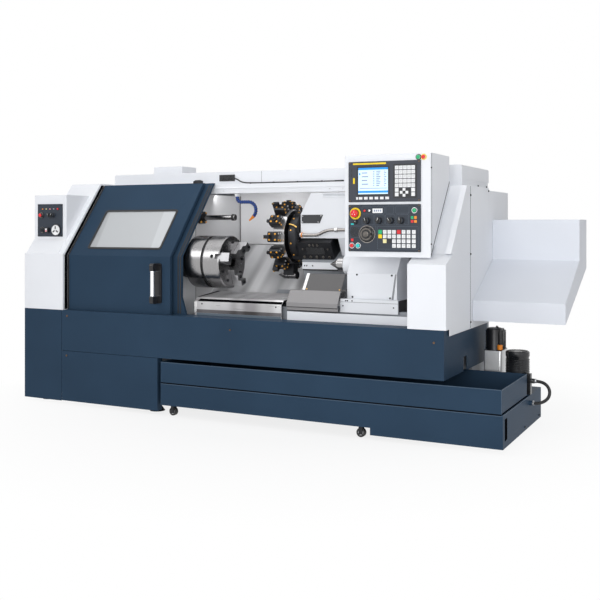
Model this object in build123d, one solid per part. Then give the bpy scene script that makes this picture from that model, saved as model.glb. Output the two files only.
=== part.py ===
from build123d import *
import os
from math import cos, pi, radians, sin, tan

# Slant-bed CNC turning centre, millimetres. While it is laid out, x runs from the left end,
# y back from the front panel and z up from the floor. Pieces are written about the bottom centre.

# Body, sheet metal and cuts
END_W = 300.0
FRONT_W = 2420.0
SILL_Z = 576.0
BACK_Y = 1050.0
SHEET = 3.0
SEAM = 2.0
RUN_GAP = 0.3
CUT = 20.0
BODY_W = END_W + FRONT_W

# Navy panels round the base
END_BOTTOM_Z = 22.0
END_DEPTH = 900.0
FRONT_BOTTOM_Z = 330.0
FRONT_SIDE_D = 790.0
LEDGE_D = 112.0
RETURN_D = 48.0
LOWER_W = 712.0
LOWER_BOTTOM_Z = 25.0
NOTCH_Y = 330.0
NOTCH_W = 60.0
NOTCH_H = 75.0

# Base casting and its feet
BASE_INSET = 20.0
BASE_FRONT_Y = RETURN_D
BASE_BACK_Y = 900.0
BASE_BOTTOM_Z = 60.0
BEAM_BOTTOM_Z = FRONT_BOTTOM_Z
BASE_TOP_Z = 556.0
PEDESTAL_W = 980.0
LEG_W = 360.0
LEG_FRONT_Y = 560.0
CORE_WALL = 40.0
FOOT_R = 45.0
FOOT_PAD_H = 22.0
FOOT_TOP_R = 30.0
STUD_R = 15.0
FOOT_INSET = 75.0

# Slanted bed, its chip slide and its box ways
SLIDE_TOP_Y = 915.0
SLIDE_TOP_Z = 966.0
SLIDE_ANGLE = 40.0
SLIDE_FOOT_Y = 470.0
BED_DROP = 21.0
WAY_W = 36.0
WAY_PROUD = 30.0
UPPER_WAY_S = 35.0
LOWER_WAY_S = 460.0
WAY_X0 = 1500.0
WAY_X1 = 2480.0
WAY_SLOT_GAP = 4.0

# Flat ways for the tailstock
TAIL_BED_Y0 = 170.0
TAIL_BED_Y1 = 385.0
TAIL_BED_Z = 612.0
TAIL_WAY_H = 28.0
TAIL_WAY_W = 44.0
TAIL_BED_X0 = 1190.0
TAIL_BED_X1 = 2500.0

# Door section, shared by every sloping cover
DOOR_Y = 40.0
FOLD_Z = 910.0
DOOR_TOP_Z = 1350.0
SLOPE = 0.79
DOOR_X0 = 312.0
DOOR_W = 760.0
DOOR_T = 25.0
DOOR_STEP = 40.0
REAR_DOOR_LEAD = 50.0
REAR_DOOR_T = 20.0
GUSSET_W = 30.0
GUSSET_H = 100.0
WINDOW_INSET = 135.0
WINDOW_MARGIN = 98.0
WINDOW_X0 = DOOR_X0 + WINDOW_INSET
WINDOW_W = DOOR_W - WINDOW_INSET - WINDOW_MARGIN
WINDOW_Z0 = 957.0
WINDOW_Z1 = 1179.0
WINDOW_R = 14.0
GLASS_T = 6.0
GLASS_LAP = 18.0
HANDLE_INSET = 87.0
HANDLE_X = DOOR_X0 + DOOR_W - HANDLE_INSET
HANDLE_Z0 = 640.0
HANDLE_Z1 = 872.0
HANDLE_OUT = 50.0
HANDLE_R = 13.0
HANDLE_BASE_W = 62.0
HANDLE_BASE_T = 8.0
HANDLE_ARM_H = 46.0

# Headstock cabinet with its switch box
CABINET_W = 308.0
CABINET_BACK_Y = 1050.0
CABINET_TOP_Z = 1360.0
CABINET_LEAD = 40.0
CABINET_SLOPE_X0 = 70.0
SHOULDER_Z0 = 919.0
SHOULDER_Z1 = 1009.0
SWITCH_BOX_Y = 75.0
SWITCH_BOX_X0 = 12.0
SWITCH_BOX_X1 = 271.0
SWITCH_BOX_Z = 1281.0
PLATE_W = 201.0
PLATE_H = 203.0
PLATE_Z0 = 1022.0
PLATE_T = 4.0
SWITCH_R = 13.0
SWITCH_OUT = 16.0
SOCKET_R = 31.0
SOCKET_OUT = 10.0

# Spindle line
SPINDLE_Y = 288.0
SPINDLE_Z = 877.0
HEAD_X0 = 420.0
HEAD_FACE_X = 1020.0
HEAD_BACK_Y = 620.0
HEAD_FRONT_Y = 135.0
GUARD_BACK_Y = 912.0
NOSE_R = 97.0
SHAFT_R = 70.0
BORE_R = 38.0
SPINDLE_X0 = 150.0
PULLEY_R = 120.0
PULLEY_W = 80.0
PULLEY_X0 = 160.0
FLANGE_H = 10.0

# Spindle motor under the headstock, and the belt
MOTOR_Y = 420.0
MOTOR_Z = 330.0
MOTOR_R = 130.0
MOTOR_L = 420.0
MOTOR_PULLEY_R = 80.0
MOTOR_SHAFT_R = 24.0
BELT_T = 8.0
BELT_W = 60.0
BELT_GAP = 0.5

# Three-jaw chuck
CHUCK_R = 154.0
CHUCK_X0 = 1110.0
CHUCK_REAR_L = 106.0
CHUCK_GROOVE_W = 18.0
CHUCK_GROOVE_D = 10.0
CHUCK_X1 = 1338.0
CHUCK_EDGE_R = 5.0
JAW_COUNT = 3
JAW_W = 52.0
JAW_SLOT_D = 26.0
JAW_SLOT_W = 30.0
JAW_FIT = 0.5
JAW_IN_R = 42.0
JAW_OUT_R = 138.0
JAW_STEP_L = 20.0
JAW_STEPS = 3
JAW_TURN = 76.0
JAW_LIFT = 0.5
KEY_HOLE_R = 9.0
KEY_HOLE_D = 12.0
KEY_HOLE_SETBACK = 46.0

# Carriage, cross slide and turret
TURRET_Y = 545.0
TURRET_Z = 1025.0
CROSS_ANGLE = 30.0
DISC_X0 = 1560.0
DISC_T = 72.0
DISC_R = 160.0
DISC_HUB_R = 92.0
DISC_HUB_T = 20.0
STATIONS = 12
HOLDER_W = 62.0
HOLDER_OUT_R = 208.0
HOLDER_LAP = 8.0
HOLDER_T = 66.0
TOOL_OUT_R = 231.0
TOOL_W = 22.0
TOOL_OVER = 26.0
CENTRE_TOOL_R = 23.0
CENTRE_TOOL_AT_R = 230.0
CENTRE_TOOL_X0 = 1512.0
CENTRE_TOOL_X1 = 1640.0
CENTRE_TOOL_CONE_L = 42.0
COLLAR_R = 148.0
COLLAR_L = 58.0
COLLAR_EDGE = 14.0
TIP_R = 2.0
BODY_X1 = 1920.0
BODY_A0 = -140.0
BODY_A1 = 150.0
BODY_N0 = -70.0
BODY_N1 = 42.0
SADDLE_X0 = 1715.0
SADDLE_X1 = 2160.0
SADDLE_A0 = -150.0
SADDLE_A1 = 300.0
SADDLE_S0 = 8.0
SADDLE_S1 = 488.0
COVER_X0 = 1715.0
COVER_X1 = 2275.0
COVER_FRONT_Y = 436.0
COVER_N = 47.0
COVER_CLEAR = 7.0
COVER_BACK_H = 48.3
COVER_CHAMFER_X = 65.0
COVER_CHAMFER_Z = 121.0
COVER_LEG_X0 = 1950.0
COVER_LEG_A0 = -95.0
COVER_LEG_A1 = 240.0

# Tailstock
TAIL_X0 = 2120.0
TAIL_X1 = 2404.0
TAIL_FRONT_Y = 190.0
TAIL_BACK_Y = 383.0
TAIL_BASE_Z = 700.0
TAIL_BASE_LEAD = 24.0
TAIL_BASE_TAIL = 20.0
TAIL_APRON_T = 18.0
TAIL_APRON_Z = 627.0
TAIL_FACE_Z = 835.0
TAIL_TOP_Y = 262.0
TAIL_TOP_Z = 942.0
BARREL_R = 58.0
BARREL_L = 46.0
QUILL_R = 38.0
QUILL_X0 = 2030.0
QUILL_L = 330.0
CENTRE_R = 26.0
CENTRE_TIP_X = 1975.0
CENTRE_CONE_L = 44.0
CENTRE_NECK_R = 15.0
CENTRE_NECK_L = 60.0
GUARD_X0 = 1790.0
GUARD_PLATE_X0 = 1865.0
GUARD_UP_Y = 222.0
GUARD_UP_Z = 826.0
GUARD_MID_Y = 160.0
GUARD_MID_Z = 738.0
GUARD_LOW_Y = 114.0
GUARD_LOW_Z = 672.0
GUARD_FOOT_Z = 626.0
GUARD_STEP = 6.0
GUARD_T = 3.0
GUARD_LIP_D = 12.0
GUARD_FLANGE_W = 18.0

# Way cover and skirt in front of the bed
WAY_COVER_X0 = 1180.0
WAY_COVER_X1 = 1750.0
WAY_COVER_Y = 130.0
WAY_COVER_Z0 = 588.0
WAY_COVER_LIP_Z = 652.0
WAY_COVER_TOP_Y = 160.0
WAY_COVER_TOP_Z = 676.0
WAY_COVER_BACK_Y = 388.0
WAY_COVER_ROOF_H = 20.0
SKIRT_X0 = 1792.0
SKIRT_X1 = 2496.0
SKIRT_Y = 118.0
SKIRT_H = 46.0

# Right-hand covers
RIGHT_X0 = 2530.0
RIGHT_STEP = 45.0
RIGHT_FOLD_Z = 898.0
RIGHT_SLOPE_Z = 949.0
RIGHT_TOP_Z = 1303.0
RIGHT_RIM = 35.0
RIGHT_RIM_W = 60.0
RIGHT_SIDE_Z = 543.0
RIGHT_LAP = 10.0
RIGHT_TOP_D = 27.5
RIGHT_SEAM_Y = DOOR_Y + (RIGHT_TOP_Z - FOLD_Z) * SLOPE + RIGHT_STEP + RIGHT_TOP_D
SIDE_BACK_Y = 793.0
ELECTRIC_BACK_Y = 1232.0
ELECTRIC_TOP_Z = 1289.0
EXT_X1 = 3215.0
EXT_FRONT_Y = 462.0
EXT_LIP_Z0 = 582.0
EXT_LIP_Z1 = 690.0
EXT_WALL_Y = 870.0
EXT_WALL_Z0 = 897.0
EXT_WALL_Z1 = 1124.0
EXT_BACK_Y = 1094.0
EXT_BACK_Z = 848.0

# Interior back and roof, stacked on the right-hand covers
INNER_X1 = 2484.0
BEAM_X0 = 310.0
BEAM_LEAD = 47.97
BEAM_RISE = 40.0
BEAM_H = 57.0
BEAM_LAP = 72.0
BEAM_T = 4.0
BEAM_RIB = 8.0
ROOF_H = 79.0
ROOF_X1 = 2660.0
ROOF_SETBACK = 77.0
ROOF_R = 12.0
SPLASH_LAP = 37.0
TOWER_X0 = 405.0
TOWER_W = 231.0
TOWER_Y0 = 800.0
TOWER_D = 170.0
TOWER_H = 68.0
BEAM_TOP_Z = RIGHT_TOP_Z + BEAM_RISE
BEAM_Z0 = BEAM_TOP_Z - BEAM_H
ROOF_FRONT_Y = RIGHT_SEAM_Y + ROOF_SETBACK
BEAM_Y = ROOF_FRONT_Y - BEAM_LEAD
ROOF_TOP_Z = BEAM_TOP_Z + ROOF_H
SPLASH_TOP_Z = BEAM_TOP_Z + SPLASH_LAP
TOWER_TOP_Z = ROOF_TOP_Z + TOWER_H
GUARD_TOP_Z = BEAM_Z0 - SEAM

# Control box and panels
BOX_X0 = 2170.0
BOX_W = 468.0
BOX_Y = 45.0
BOX_TOP_Z = 1455.0
BOX_BACK_Y = 350.0
BOX_GAP = 10.0
PANEL_X0 = 2194.0
PANEL_W = 393.0
CNC_Z0 = 1211.0
CNC_H = 208.0
OPERATOR_Z0 = 957.0
OPERATOR_H = 241.0
PANEL_T = 6.0
PANEL_R = 4.0
SCREEN_D = 2.5
KEY_SIZE = 19.0
KEY_OUT = 3.0
SOFT_KEY_W = 19.0
SOFT_KEY_H = 13.0
PAGE_KEY_W = 10.0
PAD_KEY_W = 19.0
PAD_KEY_H = 19.0
ARROW_REACH = 15.0
ARROW_KEY = 14.0
KNOB_R = 16.0
KNOB_OUT = 22.0
SMALL_R = 11.0
SMALL_OUT = 9.0
ESTOP_RING_R = 30.0
ESTOP_RING_T = 3.0
ESTOP_R = 20.0
ESTOP_H = 17.0
ESTOP_STEM_R = 10.0
ESTOP_TRAVEL = 6.0
WHEEL_R = 39.0
WHEEL_T = 15.0
WHEEL_HUB_R = 20.0
WHEEL_BOSS_H = 5.0
CRANK_R = 6.0
CRANK_H = 16.0
CRANK_INSET = 12.0
LAMP_R = 11.0
LAMP_OUT = 9.0
LAMP_DROP = 21.7

# Places on the two panels, as shares of width and of height from the top
SCREEN_SHARES = (0.138, 0.150, 0.562, 0.810)
PAD_SHARES = (0.651, 0.118, 0.929, 0.877)
PAD_COLUMNS = 5
PAD_ROWS = 7
PAD_FULL_ROWS = 5
ARROW_SHARES = (0.778, 0.775)
SOFT_KEYS = 6
SOFT_KEY_X_SHARES = (0.175, 0.547)
PAGE_KEY_X_SHARE = 0.125
SOFT_KEY_Z_SHARE = 0.905
KNOB_X_SHARES = (0.265, 0.433, 0.597, 0.738)
KNOB_Z_SHARE = 0.34
ESTOP_SHARES = (0.10, 0.19)
HANDWHEEL_SHARES = (0.265, 0.63)
SMALL_SHARES = ((0.10, 0.365), (0.053, 0.875), (0.141, 0.875), (0.92, 0.13))
KEY_X_SHARES = (0.45, 0.514, 0.578, 0.641, 0.707, 0.772, 0.839, 0.91)
KEY_Z_SHARES = (0.58, 0.675, 0.775, 0.873)
KEY_FIRST_COLUMNS = (0, 0, 1, 3)
LAMP_X_SHARES = (0.865, 0.922)
SWITCH_SHARES = ((0.16, 0.34), (0.50, 0.34), (0.62, 0.34), (0.21, 0.80), (0.41, 0.80))
SOCKET_SHARES = (0.76, 0.80)

# Chip pan, coolant tank and casters
PAN_X0 = 1035.0
PAN_X1 = 3004.0
PAN_DEPTH = 526.0
PAN_Z0 = 190.0
PAN_TOP_Z = 310.0
PAN_WALL = 4.0
TANK_X1 = 3010.0
TANK_DEPTH = 530.0
TANK_TOP_Z = 190.0
TANK_BOTTOM_Z = 62.0
TANK_SUMP_X0 = 2330.0
TANK_SUMP_Z = 25.0
BAY_X0 = 2745.0
BAY_DEPTH = 845.0
TANK_BOSS_L = 14.0
TANK_BOSS_Y = 564.0
TANK_BOSS_Z = 151.0
SLOT_HANDLE_Y = 36.0
SLOT_HANDLE_W = 22.0
SLOT_HANDLE_H = 100.0
SLOT_HANDLE_D = 6.0
CASTER_X = (1095.0, 2264.0)
CASTER_Y = (45.0, 485.0)
CASTER_R = 24.0
CASTER_W = 20.0
CASTER_LIFT = 0.5
AXLE_R = 5.0
CHEEK_R = 10.0
FORK_T = 4.0
FORK_GAP = 1.0
FORK_TOP_T = 6.0

# Coolant pump, hydraulic unit and the hose between pump and tank
PUMP_X = 2926.0
PUMP_Y = 650.0
PUMP_R = 61.0
PUMP_TOP_Z = 410.0
PUMP_CAP_H = 26.0
PUMP_CAP_R = 64.0
PUMP_FLANGE_R = 72.0
PUMP_FLANGE_H = 12.0
OUTLET_W = 34.0
OUTLET_REACH = 50.0
OUTLET_SETBACK = 50.0
OUTLET_Z = 262.0
OUTLET_TOP_Z = 300.0
OUTLET_FOOT_H = 24.0
HYDRO_X0 = 2752.0
HYDRO_W = 96.0
HYDRO_Y0 = 600.0
HYDRO_D = 150.0
HYDRO_TOP_Z = 410.0
HYDRO_MOTOR_R = 52.0
HYDRO_MOTOR_H = 120.0
HYDRO_VALVE_W = 26.0
HYDRO_VALVE_H = 70.0
HYDRO_VALVES = 2
HYDRO_BLOCK_D = 56.0
HYDRO_BLOCK_H = 42.0
HYDRO_PIPE_R = 9.0
HOSE_R = 8.5
HOSE_FIT_R = 13.0
HOSE_FIT_L = 18.0

# Tool-setting arm and coolant nozzle
SETTER_Y = 440.0
SETTER_Z = 1140.0
SETTER_BASE = 74.0
SETTER_BASE_L = 20.0
SETTER_R = 15.0
SETTER_L = 208.0
SETTER_CAP_R = 19.0
SETTER_CAP_L = 22.0
NOZZLE_X = 1262.0
NOZZLE_SETBACK = 24.0
NOZZLE_R = 9.5
NOZZLE_BEAD_COUNT = 22
NOZZLE_DROP = 10.0
NOZZLE_BEND_R = 26.0
NOZZLE_RUN = 54.0
NOZZLE_HOOK_R = 50.0
NOZZLE_HOOK_ANGLE = 138.0
NOZZLE_TIP_L = 48.0
NOZZLE_TIP_R = 3.5
NOZZLE_COLLAR_R = 14.0
NOZZLE_COLLAR_H = 16.0
NOZZLE_Y = BEAM_Y + NOZZLE_SETBACK

# Origin of the written pieces
MID_X = EXT_X1 / 2
MID_Y = (ELECTRIC_BACK_Y + DOOR_Y - HANDLE_OUT - HANDLE_R) / 2


def save(name, shape):
    """Write one piece, shifted so that the origin is the bottom centre of the machine."""
    export_step(Pos(-MID_X, -MID_Y, 0) * shape, f"parts/{name}.step")


def block(x0, x1, y0, y1, z0, z1):
    """Box between two corners."""
    centre = Pos((x0 + x1) / 2, (y0 + y1) / 2, (z0 + z1) / 2)
    return centre * Box(x1 - x0, y1 - y0, z1 - z0)


def prism(points, x0, x1):
    """Solid with a y-z outline, running along x."""
    outline = Plane.YZ.offset(x0) * make_face(Polyline(*points, close=True))
    return extrude(outline, amount=x1 - x0, dir=(1, 0, 0))


def rod_x(x0, x1, y, z, r):
    """Cylinder along x."""
    return Pos((x0 + x1) / 2, y, z) * Rot(0, 90, 0) * Cylinder(r, x1 - x0)


def rod_y(x, y0, y1, z, r):
    """Cylinder along y."""
    return Pos(x, (y0 + y1) / 2, z) * Rot(90, 0, 0) * Cylinder(r, y1 - y0)


def rod_z(x, y, z0, z1, r):
    """Cylinder along z."""
    return Pos(x, y, (z0 + z1) / 2) * Cylinder(r, z1 - z0)


def joined(shapes):
    """All shapes of a list as one."""
    total = shapes[0]
    for shape in shapes[1:]:
        total = total + shape
    return total


def door_front(z):
    """Depth of the door's outer face at a height."""
    return DOOR_Y + max(0.0, z - FOLD_Z) * SLOPE


def door_band(near, far, z0, z1):
    """Section that follows the door's face between two depths behind it."""
    heights = [z0, FOLD_Z, z1]
    front = [(door_front(z) + near, z) for z in heights]
    back = [(door_front(z) + far, z) for z in reversed(heights)]
    return front + back


def slide_z(y):
    """Height of the chip slide's upper face at a depth."""
    return SLIDE_TOP_Z + (y - SLIDE_TOP_Y) * tan(radians(SLIDE_ANGLE))


def slope_point(s, n):
    """Point at a distance down the slide from its top and a height above its face."""
    a = radians(SLIDE_ANGLE)
    return (SLIDE_TOP_Y - s * cos(a) - n * sin(a), SLIDE_TOP_Z - s * sin(a) + n * cos(a))


def cross_point(a, n):
    """Point along the cross slide's direction and across it, from the turret's axis."""
    t = radians(CROSS_ANGLE)
    return (TURRET_Y + a * cos(t) - n * sin(t), TURRET_Z + a * sin(t) + n * cos(t))


def way_section(s, foot, top):
    """Section of a box way on the slope."""
    half = WAY_W / 2
    return [slope_point(s - half, foot), slope_point(s + half, foot),
            slope_point(s + half, top), slope_point(s - half, top)]


# Base casting: one hollow bed with a pedestal at the left and a leg at the right
def base_frame():
    x0 = BASE_INSET
    x1 = BODY_W - BASE_INSET
    slope_foot_y = SLIDE_TOP_Y - (SLIDE_TOP_Z - BED_DROP - BASE_TOP_Z) / tan(radians(SLIDE_ANGLE))
    section = [(BASE_FRONT_Y, BEAM_BOTTOM_Z), (BASE_FRONT_Y, BASE_TOP_Z), (slope_foot_y, BASE_TOP_Z),
               (BASE_BACK_Y, slide_z(BASE_BACK_Y) - BED_DROP), (BASE_BACK_Y, BEAM_BOTTOM_Z)]
    bed_x0 = HEAD_FACE_X
    bed = prism(section, bed_x0, INNER_X1)
    bed = bed + block(INNER_X1, x1, BASE_FRONT_Y, BASE_BACK_Y, BEAM_BOTTOM_Z, BASE_TOP_Z)
    pedestal = block(x0, PEDESTAL_W + x0, BASE_FRONT_Y, BASE_BACK_Y, BASE_BOTTOM_Z, BASE_TOP_Z)
    link = block(PEDESTAL_W, bed_x0, BASE_FRONT_Y, BASE_BACK_Y, BEAM_BOTTOM_Z, BASE_TOP_Z)
    leg = block(x1 - LEG_W, x1, LEG_FRONT_Y, BASE_BACK_Y, BASE_BOTTOM_Z, BASE_TOP_Z)
    tail_bed = block(TAIL_BED_X0, TAIL_BED_X1, TAIL_BED_Y0, TAIL_BED_Y1, BASE_TOP_Z, TAIL_BED_Z)
    body = bed + pedestal + link + leg + tail_bed
    motor_room = block(x0 - CUT, HEAD_X0 + MOTOR_L, BASE_FRONT_Y + CORE_WALL, BASE_BACK_Y - CORE_WALL,
                       BASE_BOTTOM_Z + CORE_WALL, BASE_TOP_Z + CUT)
    body = body - motor_room
    for y in (TAIL_BED_Y0, TAIL_BED_Y1 - TAIL_WAY_W):
        body = body + block(TAIL_BED_X0, TAIL_BED_X1, y, y + TAIL_WAY_W, TAIL_BED_Z, TAIL_BED_Z + TAIL_WAY_H)
    for s in (UPPER_WAY_S, LOWER_WAY_S):
        body = body + prism(way_section(s, -BED_DROP, WAY_PROUD), WAY_X0, WAY_X1)
    return body


def leveling_feet():
    left = (BASE_INSET + FOOT_INSET, BASE_INSET + PEDESTAL_W - FOOT_INSET)
    right_end = BODY_W - BASE_INSET
    right = (right_end - LEG_W + FOOT_INSET, right_end - FOOT_INSET)
    places = [(x, y) for x in left for y in (BASE_FRONT_Y + FOOT_INSET, BASE_BACK_Y - FOOT_INSET)]
    places += [(x, y) for x in right for y in (LEG_FRONT_Y + FOOT_INSET, BASE_BACK_Y - FOOT_INSET)]
    feet = []
    for x, y in places:
        pad = Pos(x, y, FOOT_PAD_H / 2) * Cone(FOOT_R, FOOT_TOP_R, FOOT_PAD_H)
        feet.append(pad + rod_z(x, y, FOOT_PAD_H, BASE_BOTTOM_Z, STUD_R))
    return joined(feet)


# Folded navy panels
def left_end_panel():
    outer = block(0, END_W - SEAM, 0, END_DEPTH, END_BOTTOM_Z, SILL_Z)
    inner = block(SHEET, END_W + CUT, SHEET, END_DEPTH + CUT, END_BOTTOM_Z - CUT, SILL_Z - SHEET)
    relief = block(BASE_INSET - SEAM, END_W + CUT, BASE_FRONT_Y - SEAM, END_DEPTH + CUT,
                   BASE_BOTTOM_Z, SILL_Z + CUT)
    return outer - inner - relief


def front_panel():
    outer = block(END_W, BODY_W, 0, FRONT_SIDE_D, FRONT_BOTTOM_Z, SILL_Z)
    x0 = END_W - CUT
    x1 = BODY_W - SHEET
    back = FRONT_SIDE_D + CUT
    inner = block(x0, x1, SHEET, back, FRONT_BOTTOM_Z + SHEET, SILL_Z - SHEET)
    above = block(x0, x1, LEDGE_D, back, SILL_Z - SHEET - CUT, SILL_Z + CUT)
    below = block(x0, x1, RETURN_D, back, FRONT_BOTTOM_Z - CUT, FRONT_BOTTOM_Z + CUT)
    notch = block(BODY_W - SHEET - CUT, BODY_W + CUT, NOTCH_Y, NOTCH_Y + NOTCH_W,
                  FRONT_BOTTOM_Z - CUT, FRONT_BOTTOM_Z + NOTCH_H)
    return outer - inner - above - below - notch


def lower_front_panel():
    x1 = END_W + LOWER_W
    top = FRONT_BOTTOM_Z - SEAM
    outer = block(END_W, x1, 0, RETURN_D, LOWER_BOTTOM_Z, top)
    inner = block(END_W + SHEET, x1 - SHEET, SHEET, RETURN_D + CUT, LOWER_BOTTOM_Z + SHEET, top - SHEET)
    return outer - inner


# Headstock cabinet: a folded shell with a switch box in front of its slope
def cabinet_form(inset):
    lead = -CABINET_LEAD + inset
    top = CABINET_TOP_Z - inset
    back = CABINET_BACK_Y - inset
    slope = [(door_front(SILL_Z) + lead, SILL_Z), (door_front(FOLD_Z) + lead, FOLD_Z),
             (door_front(top) + lead, top), (back, top), (back, SILL_Z)]
    shoulder_y = SWITCH_BOX_Y + inset
    box_top = SWITCH_BOX_Z - inset
    switch_box = [(inset, SILL_Z), (inset, SHOULDER_Z0), (shoulder_y, SHOULDER_Z1), (shoulder_y, box_top),
                  (back, box_top), (back, SILL_Z)]
    low = block(inset, CABINET_W - inset, inset, back, SILL_Z, SHOULDER_Z0 - inset)
    form = prism(slope, CABINET_SLOPE_X0 + inset, CABINET_W - inset)
    return form + prism(switch_box, SWITCH_BOX_X0 + inset, SWITCH_BOX_X1 - inset) + low


def headstock_cabinet():
    floor_cut = block(SHEET, CABINET_W - SHEET, SHEET, CABINET_BACK_Y - SHEET, SILL_Z - CUT, SILL_Z + SHEET)
    spindle_hole = rod_x(CABINET_W - CUT, CABINET_W + CUT, SPINDLE_Y, SPINDLE_Z, SHAFT_R + SHEET)
    return cabinet_form(0) - cabinet_form(SHEET) - floor_cut - spindle_hole


def switch_plate():
    x0 = (SWITCH_BOX_X0 + SWITCH_BOX_X1 - PLATE_W) / 2
    front = SWITCH_BOX_Y - PLATE_T
    plate = block(x0, x0 + PLATE_W, front, SWITCH_BOX_Y, PLATE_Z0, PLATE_Z0 + PLATE_H)
    for across, down in SWITCH_SHARES:
        x = x0 + PLATE_W * across
        z = PLATE_Z0 + PLATE_H * (1 - down)
        plate = plate + rod_y(x, front - SWITCH_OUT, front, z, SWITCH_R)
    x = x0 + PLATE_W * SOCKET_SHARES[0]
    z = PLATE_Z0 + PLATE_H * (1 - SOCKET_SHARES[1])
    return plate + rod_y(x, front - SOCKET_OUT, front, z, SOCKET_R)


# Headstock casting, its guard wall and the spindle drive
def headstock():
    x1 = HEAD_FACE_X - SHEET
    body = block(HEAD_X0, x1, HEAD_FRONT_Y, HEAD_BACK_Y, BASE_TOP_Z, SPINDLE_Z)
    crown = rod_x(HEAD_X0, x1, SPINDLE_Y, SPINDLE_Z, SPINDLE_Y - HEAD_FRONT_Y)
    rear = block(HEAD_X0, x1, SPINDLE_Y, HEAD_BACK_Y, SPINDLE_Z, SPINDLE_Z + SHAFT_R)
    bore = rod_x(HEAD_X0 - CUT, x1 + CUT, SPINDLE_Y, SPINDLE_Z, SHAFT_R + RUN_GAP)
    room = block(HEAD_X0 - CUT, HEAD_X0 + MOTOR_L, HEAD_FRONT_Y + CORE_WALL, HEAD_BACK_Y - CORE_WALL,
                 BASE_TOP_Z - CUT, SPINDLE_Z - SHAFT_R - CORE_WALL)
    return body + crown + rear - bore - room


def headstock_guard():
    front = DOOR_STEP + REAR_DOOR_T + DOOR_STEP / 2
    section = door_band(front, front, BASE_TOP_Z, GUARD_TOP_Z)[:3]
    section = section + [(GUARD_BACK_Y, GUARD_TOP_Z), (GUARD_BACK_Y, slide_z(GUARD_BACK_Y)),
                         (SLIDE_FOOT_Y, slide_z(SLIDE_FOOT_Y)), (SLIDE_FOOT_Y, BASE_TOP_Z)]
    wall = prism(section, HEAD_FACE_X - SHEET, HEAD_FACE_X)
    return wall - rod_x(HEAD_FACE_X - CUT, HEAD_FACE_X + CUT, SPINDLE_Y, SPINDLE_Z, SHAFT_R + SHEET)


def spindle():
    shaft = rod_x(SPINDLE_X0, HEAD_FACE_X + SHEET, SPINDLE_Y, SPINDLE_Z, SHAFT_R)
    nose = rod_x(HEAD_FACE_X + SHEET, CHUCK_X0, SPINDLE_Y, SPINDLE_Z, NOSE_R)
    return shaft + nose + pulley(PULLEY_X0, SPINDLE_Y, SPINDLE_Z, PULLEY_R) \
        - rod_x(SPINDLE_X0 - CUT, CHUCK_X0 + CUT, SPINDLE_Y, SPINDLE_Z, BORE_R)


def pulley(x0, y, z, r):
    """Flanged belt pulley along x."""
    rim = (PULLEY_W - BELT_W) / 2 - BELT_GAP
    x1 = x0 + PULLEY_W
    wheel = rod_x(x0, x1, y, z, r)
    return wheel + rod_x(x0, x0 + rim, y, z, r + FLANGE_H) + rod_x(x1 - rim, x1, y, z, r + FLANGE_H)


def spindle_motor():
    x0 = HEAD_X0
    body = rod_x(x0, x0 + MOTOR_L - CORE_WALL, MOTOR_Y, MOTOR_Z, MOTOR_R)
    foot = block(x0, x0 + MOTOR_L - CORE_WALL, MOTOR_Y - MOTOR_R, MOTOR_Y + MOTOR_R,
                 BASE_BOTTOM_Z + CORE_WALL, MOTOR_Z)
    hole = rod_x(x0 - CUT, x0 + CORE_WALL, MOTOR_Y, MOTOR_Z, MOTOR_SHAFT_R + RUN_GAP)
    return body + foot - hole


def motor_pulley():
    shaft = rod_x(PULLEY_X0, HEAD_X0 + CORE_WALL - SEAM, MOTOR_Y, MOTOR_Z, MOTOR_SHAFT_R)
    return shaft + pulley(PULLEY_X0, MOTOR_Y, MOTOR_Z, MOTOR_PULLEY_R)


def belt_loop(extra):
    """Outline round both pulleys, as a solid along x."""
    big = Pos(SPINDLE_Y, SPINDLE_Z) * Circle(PULLEY_R + BELT_GAP + extra)
    small = Pos(MOTOR_Y, MOTOR_Z) * Circle(MOTOR_PULLEY_R + BELT_GAP + extra)
    return make_hull((big + small).edges())


def drive_belt():
    x0 = PULLEY_X0 + (PULLEY_W - BELT_W) / 2
    ring = belt_loop(BELT_T) - belt_loop(0)
    return extrude(Plane.YZ.offset(x0) * ring, amount=BELT_W, dir=(1, 0, 0))


# Chuck: turned body with a groove, three radial slots and stepped jaws
def jaw_angle(index):
    return JAW_TURN + index * 360 / JAW_COUNT


def radial(shape, angle):
    """Turn a shape that is built upwards on the spindle line about that line."""
    return Pos(0, SPINDLE_Y, SPINDLE_Z) * Rot(angle, 0, 0) * shape


def chuck_body():
    rear_x1 = CHUCK_X0 + CHUCK_REAR_L
    front_x0 = rear_x1 + CHUCK_GROOVE_W
    body = rod_x(CHUCK_X0, rear_x1, SPINDLE_Y, SPINDLE_Z, CHUCK_R)
    neck = rod_x(rear_x1, front_x0, SPINDLE_Y, SPINDLE_Z, CHUCK_R - CHUCK_GROOVE_D)
    front = rod_x(front_x0, CHUCK_X1, SPINDLE_Y, SPINDLE_Z, CHUCK_R)
    front = chamfer(front.edges().filter_by(GeomType.CIRCLE).group_by(Axis.X)[-1], CHUCK_EDGE_R)
    body = body + neck + front - rod_x(CHUCK_X0 - CUT, CHUCK_X1 + CUT, SPINDLE_Y, SPINDLE_Z, BORE_R)
    half = JAW_SLOT_W / 2
    slot = block(CHUCK_X1 - JAW_SLOT_D, CHUCK_X1 + CUT, -half, half, BORE_R / 2, CHUCK_R + CUT)
    hole = rod_z(CHUCK_X1 - KEY_HOLE_SETBACK, 0, CHUCK_R - KEY_HOLE_D, CHUCK_R + CUT, KEY_HOLE_R)
    for index in range(JAW_COUNT):
        body = body - radial(slot, jaw_angle(index)) - radial(hole, jaw_angle(index))
    return body


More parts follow.
